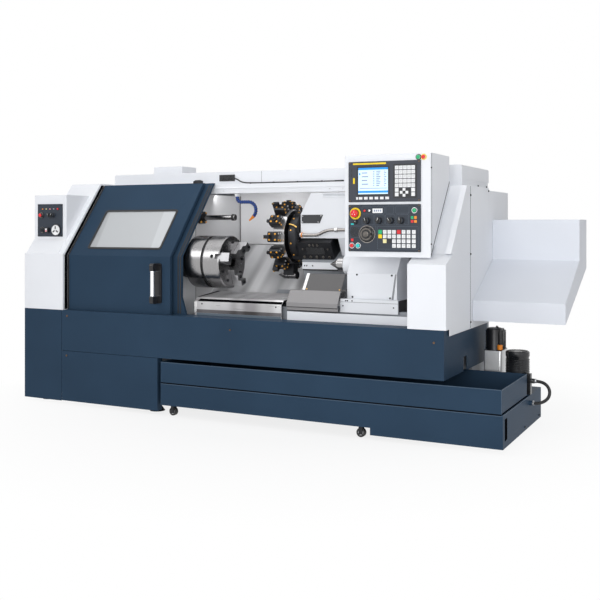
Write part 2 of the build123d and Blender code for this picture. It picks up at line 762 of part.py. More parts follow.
def chuck_jaw(index):
    half = JAW_W / 2
    key = JAW_SLOT_W / 2 - JAW_FIT
    face = CHUCK_X1 + JAW_LIFT
    master = block(CHUCK_X1 - JAW_SLOT_D + JAW_FIT, face, -key, key, JAW_IN_R, JAW_OUT_R)
    jaw = master
    reach = (JAW_OUT_R - JAW_IN_R) / JAW_STEPS
    for step in range(JAW_STEPS):
        inner = JAW_IN_R + reach * step
        jaw = jaw + block(face, face + JAW_STEP_L * (step + 1), -half, half, inner, JAW_OUT_R)
    return radial(jaw, jaw_angle(index))


# Chip slide, splash, way cover and skirt inside the work area
def chip_slide():
    section = [(SLIDE_FOOT_Y, slide_z(SLIDE_FOOT_Y) - SHEET), (SLIDE_FOOT_Y, slide_z(SLIDE_FOOT_Y)),
               (SLIDE_TOP_Y, SLIDE_TOP_Z), (SLIDE_TOP_Y, SLIDE_TOP_Z - SHEET)]
    slide = prism(section, HEAD_FACE_X, INNER_X1)
    lip_z = slide_z(SLIDE_FOOT_Y + SHEET) - BED_DROP
    lip = block(HEAD_FACE_X, INNER_X1, SLIDE_FOOT_Y, SLIDE_FOOT_Y + SHEET, lip_z, slide_z(SLIDE_FOOT_Y))
    slide = slide + lip
    for s in (UPPER_WAY_S, LOWER_WAY_S):
        half = WAY_W / 2 + WAY_SLOT_GAP
        slot = [slope_point(s - half, -CUT), slope_point(s + half, -CUT),
                slope_point(s + half, CUT), slope_point(s - half, CUT)]
        slide = slide - prism(slot, WAY_X0 - WAY_SLOT_GAP, WAY_X1 + CUT * 2)
    return slide


def back_splash():
    return block(HEAD_FACE_X, INNER_X1, SLIDE_TOP_Y, SLIDE_TOP_Y + SHEET, SLIDE_TOP_Z - SHEET, SPLASH_TOP_Z)


def front_way_cover():
    roof_z = WAY_COVER_TOP_Z + WAY_COVER_ROOF_H
    outer = [(WAY_COVER_Y, WAY_COVER_Z0), (WAY_COVER_Y, WAY_COVER_LIP_Z), (WAY_COVER_TOP_Y, WAY_COVER_TOP_Z),
             (WAY_COVER_BACK_Y, roof_z), (WAY_COVER_BACK_Y, TAIL_BED_Z)]
    t = SHEET
    inner = [(WAY_COVER_BACK_Y - t, TAIL_BED_Z), (WAY_COVER_BACK_Y - t, roof_z - t),
             (WAY_COVER_TOP_Y + t, WAY_COVER_TOP_Z - t), (WAY_COVER_Y + t, WAY_COVER_LIP_Z - t),
             (WAY_COVER_Y + t, WAY_COVER_Z0)]
    foot = block(WAY_COVER_X0, WAY_COVER_X1, WAY_COVER_Y, WAY_COVER_Y + t, BASE_TOP_Z, WAY_COVER_Z0)
    end = prism(outer + [(TAIL_BED_Y0 - SEAM, TAIL_BED_Z), (TAIL_BED_Y0 - SEAM, WAY_COVER_Z0)],
                WAY_COVER_X0, WAY_COVER_X0 + t)
    return prism(outer + inner, WAY_COVER_X0, WAY_COVER_X1) + foot + end


def front_skirt():
    wall = block(SKIRT_X0, SKIRT_X1, SKIRT_Y, SKIRT_Y + SHEET, SILL_Z - SHEET, SILL_Z + SKIRT_H)
    foot = block(SKIRT_X0, SKIRT_X1, SKIRT_Y, SKIRT_Y + SHEET, BASE_TOP_Z, SILL_Z)
    return wall + foot


# Roof, beam and tower
def top_beam():
    x1 = INNER_X1
    face = block(BEAM_X0, x1, BEAM_Y, BEAM_Y + BEAM_T, BEAM_Z0, BEAM_TOP_Z)
    top = block(BEAM_X0, x1, BEAM_Y, ROOF_FRONT_Y + BEAM_LAP, BEAM_TOP_Z - BEAM_T, BEAM_TOP_Z)
    mid = (BEAM_Z0 + BEAM_TOP_Z) / 2
    rib = block(BEAM_X0, x1, BEAM_Y - BEAM_T, BEAM_Y, mid, mid + BEAM_RIB)
    return face + top + rib


def roof_cover():
    x0 = CABINET_W
    x1 = ROOF_X1
    outer = block(x0, x1, ROOF_FRONT_Y, BACK_Y, BEAM_TOP_Z, ROOF_TOP_Z)
    outer = fillet(outer.edges().filter_by(Axis.Y).group_by(Axis.Z)[-1], ROOF_R)
    outer = outer + block(x0, INNER_X1, SLIDE_TOP_Y + SHEET, BACK_Y, BASE_TOP_Z, BEAM_TOP_Z)
    back = BACK_Y - SHEET
    attic = block(x0 - CUT, x1 - SHEET, ROOF_FRONT_Y + SHEET, back, BEAM_TOP_Z - CUT, ROOF_TOP_Z - SHEET)
    shaft = block(x0 - CUT, INNER_X1 - SHEET, SLIDE_TOP_Y - CUT, back, BASE_TOP_Z - CUT, BEAM_TOP_Z)
    return outer - attic - shaft


def motor_tower():
    outer = block(TOWER_X0, TOWER_X0 + TOWER_W, TOWER_Y0, TOWER_Y0 + TOWER_D, ROOF_TOP_Z, TOWER_TOP_Z)
    inner = block(TOWER_X0 + SHEET, TOWER_X0 + TOWER_W - SHEET, TOWER_Y0 + SHEET, TOWER_Y0 + TOWER_D - SHEET,
                  ROOF_TOP_Z - CUT, TOWER_TOP_Z - SHEET)
    return outer - inner


# Right-hand covers
def right_form(inset, z0):
    """Outline of the right cover, drawn in by a sheet's thickness."""
    fold = RIGHT_STEP + inset
    return [(inset, z0), (inset, RIGHT_FOLD_Z), (door_front(RIGHT_SLOPE_Z) + fold, RIGHT_SLOPE_Z),
            (door_front(RIGHT_TOP_Z) + fold, RIGHT_TOP_Z - inset), (RIGHT_SEAM_Y, RIGHT_TOP_Z - inset),
            (RIGHT_SEAM_Y, z0)]


def right_cover():
    side_x1 = BODY_W + RIGHT_LAP
    outer = prism(right_form(0, SILL_Z), RIGHT_X0, side_x1)
    inner = prism(right_form(SHEET, SILL_Z - CUT), RIGHT_X0 + SHEET, side_x1 - SHEET)
    back = block(RIGHT_X0 + SHEET, side_x1 - SHEET, RIGHT_SEAM_Y - SHEET - CUT, RIGHT_SEAM_Y + CUT,
                 SILL_Z - CUT, RIGHT_TOP_Z - SHEET)
    low = door_front(RIGHT_SLOPE_Z) + RIGHT_STEP
    high = door_front(RIGHT_TOP_Z) + RIGHT_STEP
    rim = [(low - RIGHT_RIM, RIGHT_SLOPE_Z), (high - RIGHT_RIM, RIGHT_TOP_Z),
           (high, RIGHT_TOP_Z), (low, RIGHT_SLOPE_Z)]
    flap = block(side_x1 - SHEET, side_x1, RIGHT_RIM_W, RIGHT_SEAM_Y, RIGHT_SIDE_Z, SILL_Z)
    return outer - inner - back + prism(rim, side_x1 - RIGHT_RIM_W / 2, side_x1) + flap


def right_side_panel():
    side_x1 = BODY_W + RIGHT_LAP
    y0 = RIGHT_SEAM_Y + SEAM
    side = block(side_x1 - SHEET, side_x1, y0, SIDE_BACK_Y, RIGHT_SIDE_Z, RIGHT_TOP_Z)
    top = block(INNER_X1, side_x1, y0, SIDE_BACK_Y, RIGHT_TOP_Z - SHEET, RIGHT_TOP_Z)
    post = block(INNER_X1, INNER_X1 + SHEET, y0, SIDE_BACK_Y, BASE_TOP_Z, RIGHT_TOP_Z)
    riser = block(INNER_X1, ROOF_X1, ROOF_FRONT_Y, ROOF_FRONT_Y + SHEET, RIGHT_TOP_Z, BEAM_TOP_Z)
    side_riser = block(ROOF_X1 - SHEET, ROOF_X1, ROOF_FRONT_Y, SIDE_BACK_Y, RIGHT_TOP_Z, BEAM_TOP_Z)
    return side + top + post + riser + side_riser


def electrical_cabinet():
    x1 = BODY_W + RIGHT_LAP
    y0 = SIDE_BACK_Y + SEAM
    outer = block(INNER_X1 + SEAM, x1, y0, ELECTRIC_BACK_Y, BASE_TOP_Z, ELECTRIC_TOP_Z)
    inner = block(INNER_X1 + SEAM + SHEET, x1 - SHEET, y0 + SHEET, ELECTRIC_BACK_Y - SHEET,
                  BASE_TOP_Z + SHEET, ELECTRIC_TOP_Z - SHEET)
    return outer - inner


def extension_cover():
    outline = [(EXT_FRONT_Y, EXT_LIP_Z0), (EXT_FRONT_Y, EXT_LIP_Z1), (EXT_WALL_Y, EXT_WALL_Z0),
               (EXT_WALL_Y, EXT_WALL_Z1), (EXT_BACK_Y, EXT_WALL_Z1), (EXT_BACK_Y, EXT_BACK_Z)]
    return prism(outline, BODY_W + RIGHT_LAP, EXT_X1)


# Doors: folded trays, open at the back
def door_tray(x0, x1, near, depth):
    z0 = SILL_Z + RUN_GAP
    outer = prism(door_band(near, near + depth, z0, DOOR_TOP_Z), x0, x1)
    inner = prism(door_band(near + SHEET, near + depth + CUT, z0 + SHEET, DOOR_TOP_Z - SHEET),
                  x0 + SHEET, x1 - SHEET)
    return outer - inner


def window_band(near, far, lap):
    """Slab of the window's outline, grown by a lap, between two depths behind the door's face."""
    z0 = WINDOW_Z0 - lap
    z1 = WINDOW_Z1 + lap
    section = [(door_front(z0) + near, z0), (door_front(z1) + near, z1),
               (door_front(z1) + far, z1), (door_front(z0) + far, z0)]
    slab = prism(section, WINDOW_X0 - lap, WINDOW_X0 + WINDOW_W + lap)
    return slab


def door_panel():
    tray = door_tray(DOOR_X0, DOOR_X0 + DOOR_W, 0, DOOR_T)
    opening = window_band(-CUT, CUT, 0)
    return tray - fillet(opening.edges().filter_by(Axis.Y), WINDOW_R)


def door_window():
    return window_band(SHEET, SHEET + GLASS_T, GLASS_LAP)


def door_handle():
    """Bar on two rounded arms, with one long plate behind it."""
    y = DOOR_Y - HANDLE_OUT
    half = HANDLE_BASE_W / 2
    plate = block(HANDLE_X - half, HANDLE_X + half, DOOR_Y - HANDLE_BASE_T, DOOR_Y, HANDLE_Z0, HANDLE_Z1)
    plate = fillet(plate.edges().filter_by(Axis.Y), HANDLE_R)
    handle = plate + rod_z(HANDLE_X, y, HANDLE_Z0 + HANDLE_R, HANDLE_Z1 - HANDLE_R, HANDLE_R)
    for z0 in (HANDLE_Z0, HANDLE_Z1 - HANDLE_ARM_H):
        arm = block(HANDLE_X - HANDLE_R, HANDLE_X + HANDLE_R, y - HANDLE_R, DOOR_Y, z0, z0 + HANDLE_ARM_H)
        handle = handle + fillet(arm.edges().filter_by(Axis.X).group_by(Axis.Y)[0], HANDLE_R)
    return handle


def rear_door_panel():
    x0 = DOOR_X0 + REAR_DOOR_LEAD
    x1 = x0 + DOOR_W
    tray = door_tray(x0, x1, DOOR_STEP, REAR_DOOR_T)
    y = DOOR_Y + DOOR_STEP
    z = SILL_Z + RUN_GAP
    corner = Plane.XZ * make_face(Polyline((x1, z), (x1 + GUSSET_W, z), (x1, z + GUSSET_H), close=True))
    gusset = Pos(0, y, 0) * extrude(corner, amount=REAR_DOOR_T, dir=(0, 1, 0))
    return tray + gusset


# Carriage, cross slide and turret
def carriage_saddle():
    top = BODY_N0 - RUN_GAP
    foot = WAY_PROUD + RUN_GAP
    section = [slope_point(SADDLE_S1, foot), slope_point(SADDLE_S0, foot),
               cross_point(SADDLE_A1, top), cross_point(SADDLE_A0, top)]
    return prism(section, SADDLE_X0, SADDLE_X1)


def carriage_cover():
    foot_y, foot_z = cross_point(0, COVER_N)
    rise = tan(radians(CROSS_ANGLE))
    top_z = BEAM_Z0 - COVER_CLEAR
    back_z = top_z - COVER_BACK_H
    back_y = foot_y + (back_z - foot_z) / rise
    section = [(COVER_FRONT_Y, foot_z + (COVER_FRONT_Y - foot_y) * rise), (back_y, back_z),
               (back_y, top_z), (COVER_FRONT_Y, top_z)]
    cover = prism(section, COVER_X0, COVER_X1)
    slant_x = COVER_X0 + COVER_CHAMFER_X
    slant_z = top_z - COVER_CHAMFER_Z
    corner = Polyline((COVER_X0 - CUT, top_z + CUT), (slant_x, top_z + CUT), (slant_x, top_z),
                      (COVER_X0, slant_z), (COVER_X0 - CUT, slant_z), close=True)
    cover = cover - extrude(Plane.XZ * make_face(corner), amount=BACK_Y, dir=(0, 1, 0))
    leg = [cross_point(COVER_LEG_A0, BODY_N0 - RUN_GAP), cross_point(COVER_LEG_A1, BODY_N0 - RUN_GAP),
           cross_point(COVER_LEG_A1, COVER_N), cross_point(COVER_LEG_A0, COVER_N)]
    return cover + prism(leg, COVER_LEG_X0, SADDLE_X1)


def turret_body():
    section = [cross_point(BODY_A0, BODY_N0), cross_point(BODY_A1, BODY_N0),
               cross_point(BODY_A1, BODY_N1), cross_point(BODY_A0, BODY_N1)]
    x0 = DISC_X0 + DISC_T + DISC_HUB_T
    body = prism(section, x0, BODY_X1)
    collar = rod_x(x0, x0 + COLLAR_L, TURRET_Y, TURRET_Z, COLLAR_R)
    collar = chamfer(collar.edges().filter_by(GeomType.CIRCLE).group_by(Axis.X)[-1], COLLAR_EDGE)
    spigot = rod_x(DISC_X0 + DISC_T / 2, x0, TURRET_Y, TURRET_Z, DISC_HUB_R / 2)
    return body + collar + spigot


def turret_disc():
    """Twelve-sided disc with a hub and a bolt-circle groove in its face."""
    x1 = DISC_X0 + DISC_T
    sides = RegularPolygon(DISC_R, STATIONS, major_radius=False, rotation=180 / STATIONS)
    disc = extrude(Plane.YZ.offset(DISC_X0) * Pos(TURRET_Y, TURRET_Z) * sides, amount=DISC_T, dir=(1, 0, 0))
    hub = rod_x(x1, x1 + DISC_HUB_T - RUN_GAP, TURRET_Y, TURRET_Z, DISC_HUB_R)
    cap = rod_x(DISC_X0 - DISC_HUB_T, DISC_X0, TURRET_Y, TURRET_Z, DISC_HUB_R)
    bore_r = DISC_HUB_R / 2 + RUN_GAP
    bore = rod_x(DISC_X0 + DISC_T / 2 - RUN_GAP, x1 + DISC_HUB_T + CUT, TURRET_Y, TURRET_Z, bore_r)
    return disc + hub + cap - bore


def about_turret(shape, angle):
    """Turn a shape that is built upwards on the turret's axis about that axis."""
    return Pos(0, TURRET_Y, TURRET_Z) * Rot(angle, 0, 0) * shape


def tool_holders():
    half = HOLDER_W / 2
    x0 = DISC_X0 - TOOL_OVER / 2
    holder = block(x0, x0 + HOLDER_T, -half, half, DISC_R, HOLDER_OUT_R)
    holder = chamfer(holder.edges().filter_by(Axis.X).group_by(Axis.Z)[-1], HOLDER_LAP)
    tool = block(x0 - TOOL_OVER / 2, x0 + TOOL_W, -TOOL_W / 2, TOOL_W / 2, DISC_R + HOLDER_LAP, TOOL_OUT_R)
    bar = rod_x(x0 - TOOL_OVER, x0 + HOLDER_T, 0, (DISC_R + HOLDER_OUT_R) / 2, TOOL_W / 2)
    pieces = []
    for station in range(1, STATIONS):
        fitted = holder + (tool if station % 2 else bar)
        pieces.append(about_turret(fitted, 180 + station * 360 / STATIONS))
    neck = block(DISC_X0, DISC_X0 + HOLDER_T, -half, half, DISC_R, CENTRE_TOOL_AT_R)
    cone_x1 = CENTRE_TOOL_X0 + CENTRE_TOOL_CONE_L
    shank = rod_x(cone_x1, CENTRE_TOOL_X1, 0, CENTRE_TOOL_AT_R, CENTRE_TOOL_R)
    nose = Pos((CENTRE_TOOL_X0 + cone_x1) / 2, 0, CENTRE_TOOL_AT_R) * Rot(0, 90, 0) \
        * Cone(TIP_R, CENTRE_TOOL_R, CENTRE_TOOL_CONE_L)
    pieces.append(about_turret(neck + shank + nose, 180))
    return joined(pieces)


# Tailstock
def tailstock_body():
    foot_z = TAIL_BED_Z + TAIL_WAY_H + RUN_GAP
    x0 = TAIL_X0 - TAIL_BASE_LEAD
    x1 = TAIL_X1 + TAIL_BASE_TAIL
    apron_y = TAIL_BED_Y0 - TAIL_APRON_T
    base = block(x0, x1, apron_y, TAIL_BED_Y1, foot_z, TAIL_BASE_Z)
    apron = block(x0, x1, apron_y, TAIL_BED_Y0 - RUN_GAP, TAIL_APRON_Z, TAIL_BASE_Z)
    section = [(TAIL_FRONT_Y, TAIL_BASE_Z), (TAIL_FRONT_Y, TAIL_FACE_Z), (TAIL_TOP_Y, TAIL_TOP_Z),
               (TAIL_BACK_Y, TAIL_TOP_Z), (TAIL_BACK_Y, TAIL_BASE_Z)]
    body = prism(section, TAIL_X0, TAIL_X1)
    barrel = rod_x(TAIL_X0 - BARREL_L, TAIL_X0, SPINDLE_Y, SPINDLE_Z, BARREL_R)
    bore = rod_x(TAIL_X0 - BARREL_L - CUT, QUILL_X0 + QUILL_L + SEAM, SPINDLE_Y, SPINDLE_Z, QUILL_R + RUN_GAP)
    return base + apron + body + barrel - bore


def quill():
    body = rod_x(QUILL_X0, QUILL_X0 + QUILL_L, SPINDLE_Y, SPINDLE_Z, QUILL_R)
    hole_r = CENTRE_NECK_R + RUN_GAP
    return body - rod_x(QUILL_X0 - CUT, QUILL_X0 + CENTRE_NECK_L + SEAM, SPINDLE_Y, SPINDLE_Z, hole_r)


def live_center():
    cone_x1 = CENTRE_TIP_X + CENTRE_CONE_L
    cone = Pos((CENTRE_TIP_X + cone_x1) / 2, SPINDLE_Y, SPINDLE_Z) * Rot(0, 90, 0) \
        * Cone(TIP_R, CENTRE_R, CENTRE_CONE_L)
    collar = rod_x(cone_x1, QUILL_X0 - RUN_GAP, SPINDLE_Y, SPINDLE_Z, CENTRE_R)
    neck = rod_x(QUILL_X0 - RUN_GAP, QUILL_X0 + CENTRE_NECK_L, SPINDLE_Y, SPINDLE_Z, CENTRE_NECK_R)
    return cone + collar + neck


def tailstock_guard():
    """Folded guard that slides over the fixed way cover, with a shorter plate above its step."""
    t = GUARD_T
    step_z = (GUARD_LOW_Z + GUARD_FOOT_Z) / 2
    lip_y = GUARD_UP_Y + GUARD_LIP_D
    foot_y = GUARD_LOW_Y + GUARD_STEP
    face = [(lip_y, GUARD_UP_Z), (GUARD_UP_Y, GUARD_UP_Z), (GUARD_MID_Y, GUARD_MID_Z),
            (GUARD_LOW_Y, GUARD_LOW_Z)]
    outer = face + [(GUARD_LOW_Y, step_z), (foot_y, step_z), (foot_y, GUARD_FOOT_Z)]
    inner = [(foot_y + t, GUARD_FOOT_Z), (foot_y + t, step_z + t), (GUARD_LOW_Y + t, step_z + t),
             (GUARD_LOW_Y + t, GUARD_LOW_Z - t), (GUARD_MID_Y + t, GUARD_MID_Z - t),
             (GUARD_UP_Y + t, GUARD_UP_Z - t), (lip_y, GUARD_UP_Z - t)]
    x1 = TAIL_X0 - TAIL_BASE_LEAD
    fold = prism(outer + inner, GUARD_X0, x1)
    fold = fold - block(GUARD_X0 - CUT, GUARD_PLATE_X0, 0, BACK_Y, GUARD_MID_Z, GUARD_UP_Z + CUT)
    flange = face[:-1] + [(GUARD_MID_Y + GUARD_FLANGE_W, GUARD_MID_Z)]
    arm = block(x1, TAIL_X0, GUARD_MID_Y, GUARD_UP_Y, GUARD_MID_Z, GUARD_MID_Z + GUARD_STEP)
    arm = arm + block(x1 - t, x1, GUARD_MID_Y + t, GUARD_UP_Y, GUARD_LOW_Z + GUARD_FLANGE_W, GUARD_MID_Z + t)
    return fold + prism(flange, GUARD_PLATE_X0, GUARD_PLATE_X0 + t) + arm


# Control box and its panels
def control_box():
    def box_back(y):
        return FOLD_Z + (y - DOOR_Y + BOX_GAP) / SLOPE
    section = [(BOX_Y, box_back(BOX_Y)), (BOX_Y, BOX_TOP_Z), (BOX_BACK_Y, BOX_TOP_Z),
               (BOX_BACK_Y, box_back(BOX_BACK_Y))]
    body = prism(section, BOX_X0, BOX_X0 + BOX_W)
    low = RIGHT_SLOPE_Z + RIGHT_RIM
    mount = [(door_front(low) - BOX_GAP, low), (door_front(RIGHT_TOP_Z) - BOX_GAP, RIGHT_TOP_Z),
             (door_front(RIGHT_TOP_Z) + RIGHT_STEP, RIGHT_TOP_Z), (door_front(low) + RIGHT_STEP, low)]
    return body + prism(mount, RIGHT_X0 + RIGHT_LAP, BOX_X0 + BOX_W - RIGHT_LAP)


def panel_plate(z0, height):
    plate = block(PANEL_X0, PANEL_X0 + PANEL_W, BOX_Y - PANEL_T, BOX_Y, z0, z0 + height)
    return fillet(plate.edges().filter_by(Axis.Y), PANEL_R)


def panel_place(shares, z0, height):
    """Place on a panel from shares of its width and of its height from the top."""
    return PANEL_X0 + PANEL_W * shares[0], z0 + height * (1 - shares[1])


def flat_key(x, z, width, height):
    """Low key on the front of a panel."""
    front = BOX_Y - PANEL_T
    return block(x - width / 2, x + width / 2, front - KEY_OUT, front, z - height / 2, z + height / 2)


def keypad():
    """Full rows of keys, then two keys at each end of the last rows with four arrow keys between them."""
    x0, z1 = panel_place(PAD_SHARES[:2], CNC_Z0, CNC_H)
    x1, z0 = panel_place(PAD_SHARES[2:], CNC_Z0, CNC_H)
    keys = []
    for row in range(PAD_ROWS):
        columns = range(PAD_COLUMNS) if row < PAD_FULL_ROWS else (0, PAD_COLUMNS - 1)
        z = z1 + (z0 - z1) * (row + 1 / 2) / PAD_ROWS
        for column in columns:
            x = x0 + (x1 - x0) * (column + 1 / 2) / PAD_COLUMNS
            keys.append(flat_key(x, z, PAD_KEY_W, PAD_KEY_H))
    x, z = panel_place(ARROW_SHARES, CNC_Z0, CNC_H)
    for side in (-ARROW_REACH, ARROW_REACH):
        keys.append(flat_key(x + side, z, ARROW_KEY, ARROW_KEY))
        keys.append(flat_key(x, z + side, ARROW_KEY, ARROW_KEY))
    return joined(keys)


def cnc_unit():
    unit = panel_plate(CNC_Z0, CNC_H)
    front = BOX_Y - PANEL_T
    x0, z1 = panel_place(SCREEN_SHARES[:2], CNC_Z0, CNC_H)
    x1, z0 = panel_place(SCREEN_SHARES[2:], CNC_Z0, CNC_H)
    unit = unit - block(x0, x1, front - CUT, front + SCREEN_D, z0, z1)
    left, right = SOFT_KEY_X_SHARES
    for index in range(SOFT_KEYS):
        share = left + (right - left) * index / (SOFT_KEYS - 1)
        x, z = panel_place((share, SOFT_KEY_Z_SHARE), CNC_Z0, CNC_H)
        unit = unit + flat_key(x, z, SOFT_KEY_W, SOFT_KEY_H)
    x, z = panel_place((PAGE_KEY_X_SHARE, SOFT_KEY_Z_SHARE), CNC_Z0, CNC_H)
    return unit + flat_key(x, z, PAGE_KEY_W, SOFT_KEY_H) + keypad()


def operator_plate():
    front = BOX_Y - PANEL_T
    plate = panel_plate(OPERATOR_Z0, OPERATOR_H)
    x, z = panel_place(ESTOP_SHARES, OPERATOR_Z0, OPERATOR_H)
    plate = plate + rod_y(x, front - ESTOP_RING_T, front, z, ESTOP_RING_R)
    plate = plate - rod_y(x, front - CUT, BOX_Y + CUT, z, ESTOP_STEM_R + RUN_GAP)
    x, z = panel_place(HANDWHEEL_SHARES, OPERATOR_Z0, OPERATOR_H)
    plate = plate - rod_y(x, front - CUT, BOX_Y + CUT, z, CRANK_R + RUN_GAP)
    for share in KNOB_X_SHARES:
        x, z = panel_place((share, KNOB_Z_SHARE), OPERATOR_Z0, OPERATOR_H)
        plate = plate + rod_y(x, front - KNOB_OUT, front, z, KNOB_R)
    for shares in SMALL_SHARES:
        x, z = panel_place(shares, OPERATOR_Z0, OPERATOR_H)
        plate = plate + rod_y(x, front - SMALL_OUT, front, z, SMALL_R)
    return plate


def operator_keys():
    keys = []
    for row, first in zip(KEY_Z_SHARES, KEY_FIRST_COLUMNS):
        for column in KEY_X_SHARES[first:]:
            x, z = panel_place((column, row), OPERATOR_Z0, OPERATOR_H)
            keys.append(flat_key(x, z, KEY_SIZE, KEY_SIZE))
    for share in LAMP_X_SHARES:
        x = BOX_X0 + BOX_W * share
        keys.append(rod_y(x, BOX_Y - LAMP_OUT, BOX_Y, BOX_TOP_Z - LAMP_DROP, LAMP_R))
    return joined(keys)


def estop_button():
    x, z = panel_place(ESTOP_SHARES, OPERATOR_Z0, OPERATOR_H)
    face = BOX_Y - PANEL_T - ESTOP_RING_T
    y1 = face - ESTOP_TRAVEL - RUN_GAP
    head = rod_y(x, y1 - ESTOP_H, y1, z, ESTOP_R)
    head = fillet(head.edges().group_by(Axis.Y)[0], ESTOP_H / 3)
    return head + rod_y(x, y1, BOX_Y - SEAM / 2 - ESTOP_TRAVEL, z, ESTOP_STEM_R)


def handwheel():
    x, z = panel_place(HANDWHEEL_SHARES, OPERATOR_Z0, OPERATOR_H)
    y1 = BOX_Y - PANEL_T - RUN_GAP
    wheel = rod_y(x, y1 - WHEEL_T, y1, z, WHEEL_R)
    wheel = chamfer(wheel.edges().group_by(Axis.Y)[0], WHEEL_BOSS_H)
    boss = rod_y(x, y1 - WHEEL_T - WHEEL_BOSS_H, y1 - WHEEL_T, z, WHEEL_HUB_R)
    grip_x = x + WHEEL_R - CRANK_INSET
    grip = rod_y(grip_x, y1 - WHEEL_T - CRANK_H, y1 - WHEEL_T, z, CRANK_R)
    return wheel + boss + grip + rod_y(x, y1, BOX_Y - RUN_GAP, z, CRANK_R)


# Chip pan, coolant tank, casters, pump and hydraulic unit
def chip_pan():
    outer = block(PAN_X0, PAN_X1, 0, PAN_DEPTH, PAN_Z0, PAN_TOP_Z)
    inner = block(PAN_X0 + PAN_WALL, PAN_X1 - PAN_WALL, PAN_WALL, PAN_DEPTH - PAN_WALL,
                  PAN_Z0 + PAN_WALL, PAN_TOP_Z + CUT)
    return outer - inner


def coolant_tank():
    tank = block(PAN_X0, TANK_X1, 0, TANK_DEPTH, TANK_BOTTOM_Z, TANK_TOP_Z)
    sump = block(TANK_SUMP_X0, TANK_X1, 0, TANK_DEPTH, TANK_SUMP_Z, TANK_BOTTOM_Z)
    bay = block(BAY_X0, TANK_X1, TANK_DEPTH, BAY_DEPTH, TANK_SUMP_Z, TANK_TOP_Z)
    tank = tank + sump + bay
    mid = (TANK_SUMP_Z + TANK_TOP_Z) / 2
    slot = block(TANK_X1 - SLOT_HANDLE_D, TANK_X1 + CUT, SLOT_HANDLE_Y, SLOT_HANDLE_Y + SLOT_HANDLE_W,
                 mid - SLOT_HANDLE_H / 2, mid + SLOT_HANDLE_H / 2)
    boss = rod_x(TANK_X1, TANK_X1 + TANK_BOSS_L, TANK_BOSS_Y, TANK_BOSS_Z, HOSE_FIT_R)
    return tank - slot + boss


def caster_forks():
    axle_z = CASTER_R + CASTER_LIFT
    forks = []
    for x in CASTER_X:
        for y in CASTER_Y:
            inner = CASTER_W / 2 + FORK_GAP
            fork = block(x - CASTER_R, x + CASTER_R, y - inner - FORK_T, y + inner + FORK_T,
                         TANK_BOTTOM_Z - FORK_TOP_T, TANK_BOTTOM_Z)
            for side in (-inner - FORK_T, inner):
                cheek = block(x - CHEEK_R, x + CHEEK_R, y + side, y + side + FORK_T,
                              axle_z - CHEEK_R, TANK_BOTTOM_Z - FORK_TOP_T)
                fork = fork + cheek
            forks.append(fork + rod_y(x, y - inner, y + inner, axle_z, AXLE_R))
    return joined(forks)


def caster_wheels(x):
    axle_z = CASTER_R + CASTER_LIFT
    wheels = []
    for y in CASTER_Y:
        wheel = rod_y(x, y - CASTER_W / 2, y + CASTER_W / 2, axle_z, CASTER_R)
        wheels.append(wheel - rod_y(x, y - CASTER_W, y + CASTER_W, axle_z, AXLE_R + RUN_GAP))
    return joined(wheels)


def coolant_pump():
    body = rod_z(PUMP_X, PUMP_Y, TANK_TOP_Z, PUMP_TOP_Z - PUMP_CAP_H, PUMP_R)
    cap = rod_z(PUMP_X, PUMP_Y, PUMP_TOP_Z - PUMP_CAP_H, PUMP_TOP_Z, PUMP_CAP_R)
    cap = fillet(cap.edges().group_by(Axis.Z)[-1], PUMP_CAP_H / 4)
    flange = rod_z(PUMP_X, PUMP_Y, TANK_TOP_Z, TANK_TOP_Z + PUMP_FLANGE_H, PUMP_FLANGE_R)
    x0 = PUMP_X + OUTLET_REACH
    x1 = x0 + OUTLET_W
    y0 = PUMP_Y - OUTLET_SETBACK - OUTLET_W / 2
    outlet = block(x0, x1, y0, y0 + OUTLET_W, TANK_TOP_Z, OUTLET_TOP_Z)
    link = block(PUMP_X, x0, y0, y0 + OUTLET_W, TANK_TOP_Z, TANK_TOP_Z + OUTLET_FOOT_H)
    spout = rod_x(x1, x1 + HOSE_FIT_L, PUMP_Y - OUTLET_SETBACK, OUTLET_Z, HOSE_FIT_R)
    return body + cap + flange + outlet + link + spout


def hydraulic_unit():
    """Oil tank with a motor on top and two valves on a manifold behind it."""
    x1 = HYDRO_X0 + HYDRO_W
    y1 = HYDRO_Y0 + HYDRO_D
    tank = block(HYDRO_X0, x1, HYDRO_Y0, y1, TANK_TOP_Z, HYDRO_TOP_Z)
    tank = fillet(tank.edges().filter_by(Axis.Z), HYDRO_PIPE_R)
    mid_x = (HYDRO_X0 + x1) / 2
    motor_y = HYDRO_Y0 + HYDRO_MOTOR_R
    motor = rod_z(mid_x, motor_y, HYDRO_TOP_Z, HYDRO_TOP_Z + HYDRO_MOTOR_H, HYDRO_MOTOR_R - HYDRO_PIPE_R)
    motor = fillet(motor.edges().group_by(Axis.Z)[-1], HYDRO_PIPE_R)
    block_z = HYDRO_TOP_Z + HYDRO_BLOCK_H
    manifold = block(HYDRO_X0 + HYDRO_PIPE_R, x1 - HYDRO_PIPE_R, y1 - HYDRO_BLOCK_D, y1 - HYDRO_PIPE_R,
                     HYDRO_TOP_Z, block_z)
    unit = tank + motor + manifold
    pitch = (HYDRO_W - 2 * HYDRO_PIPE_R) / HYDRO_VALVES
    y0 = y1 - (HYDRO_BLOCK_D + HYDRO_PIPE_R + HYDRO_VALVE_W) / 2
    for index in range(HYDRO_VALVES):
        x0 = HYDRO_X0 + HYDRO_PIPE_R + pitch * index + (pitch - HYDRO_VALVE_W) / 2
        unit = unit + block(x0, x0 + HYDRO_VALVE_W, y0, y0 + HYDRO_VALVE_W, block_z, block_z + HYDRO_VALVE_H)
    return unit


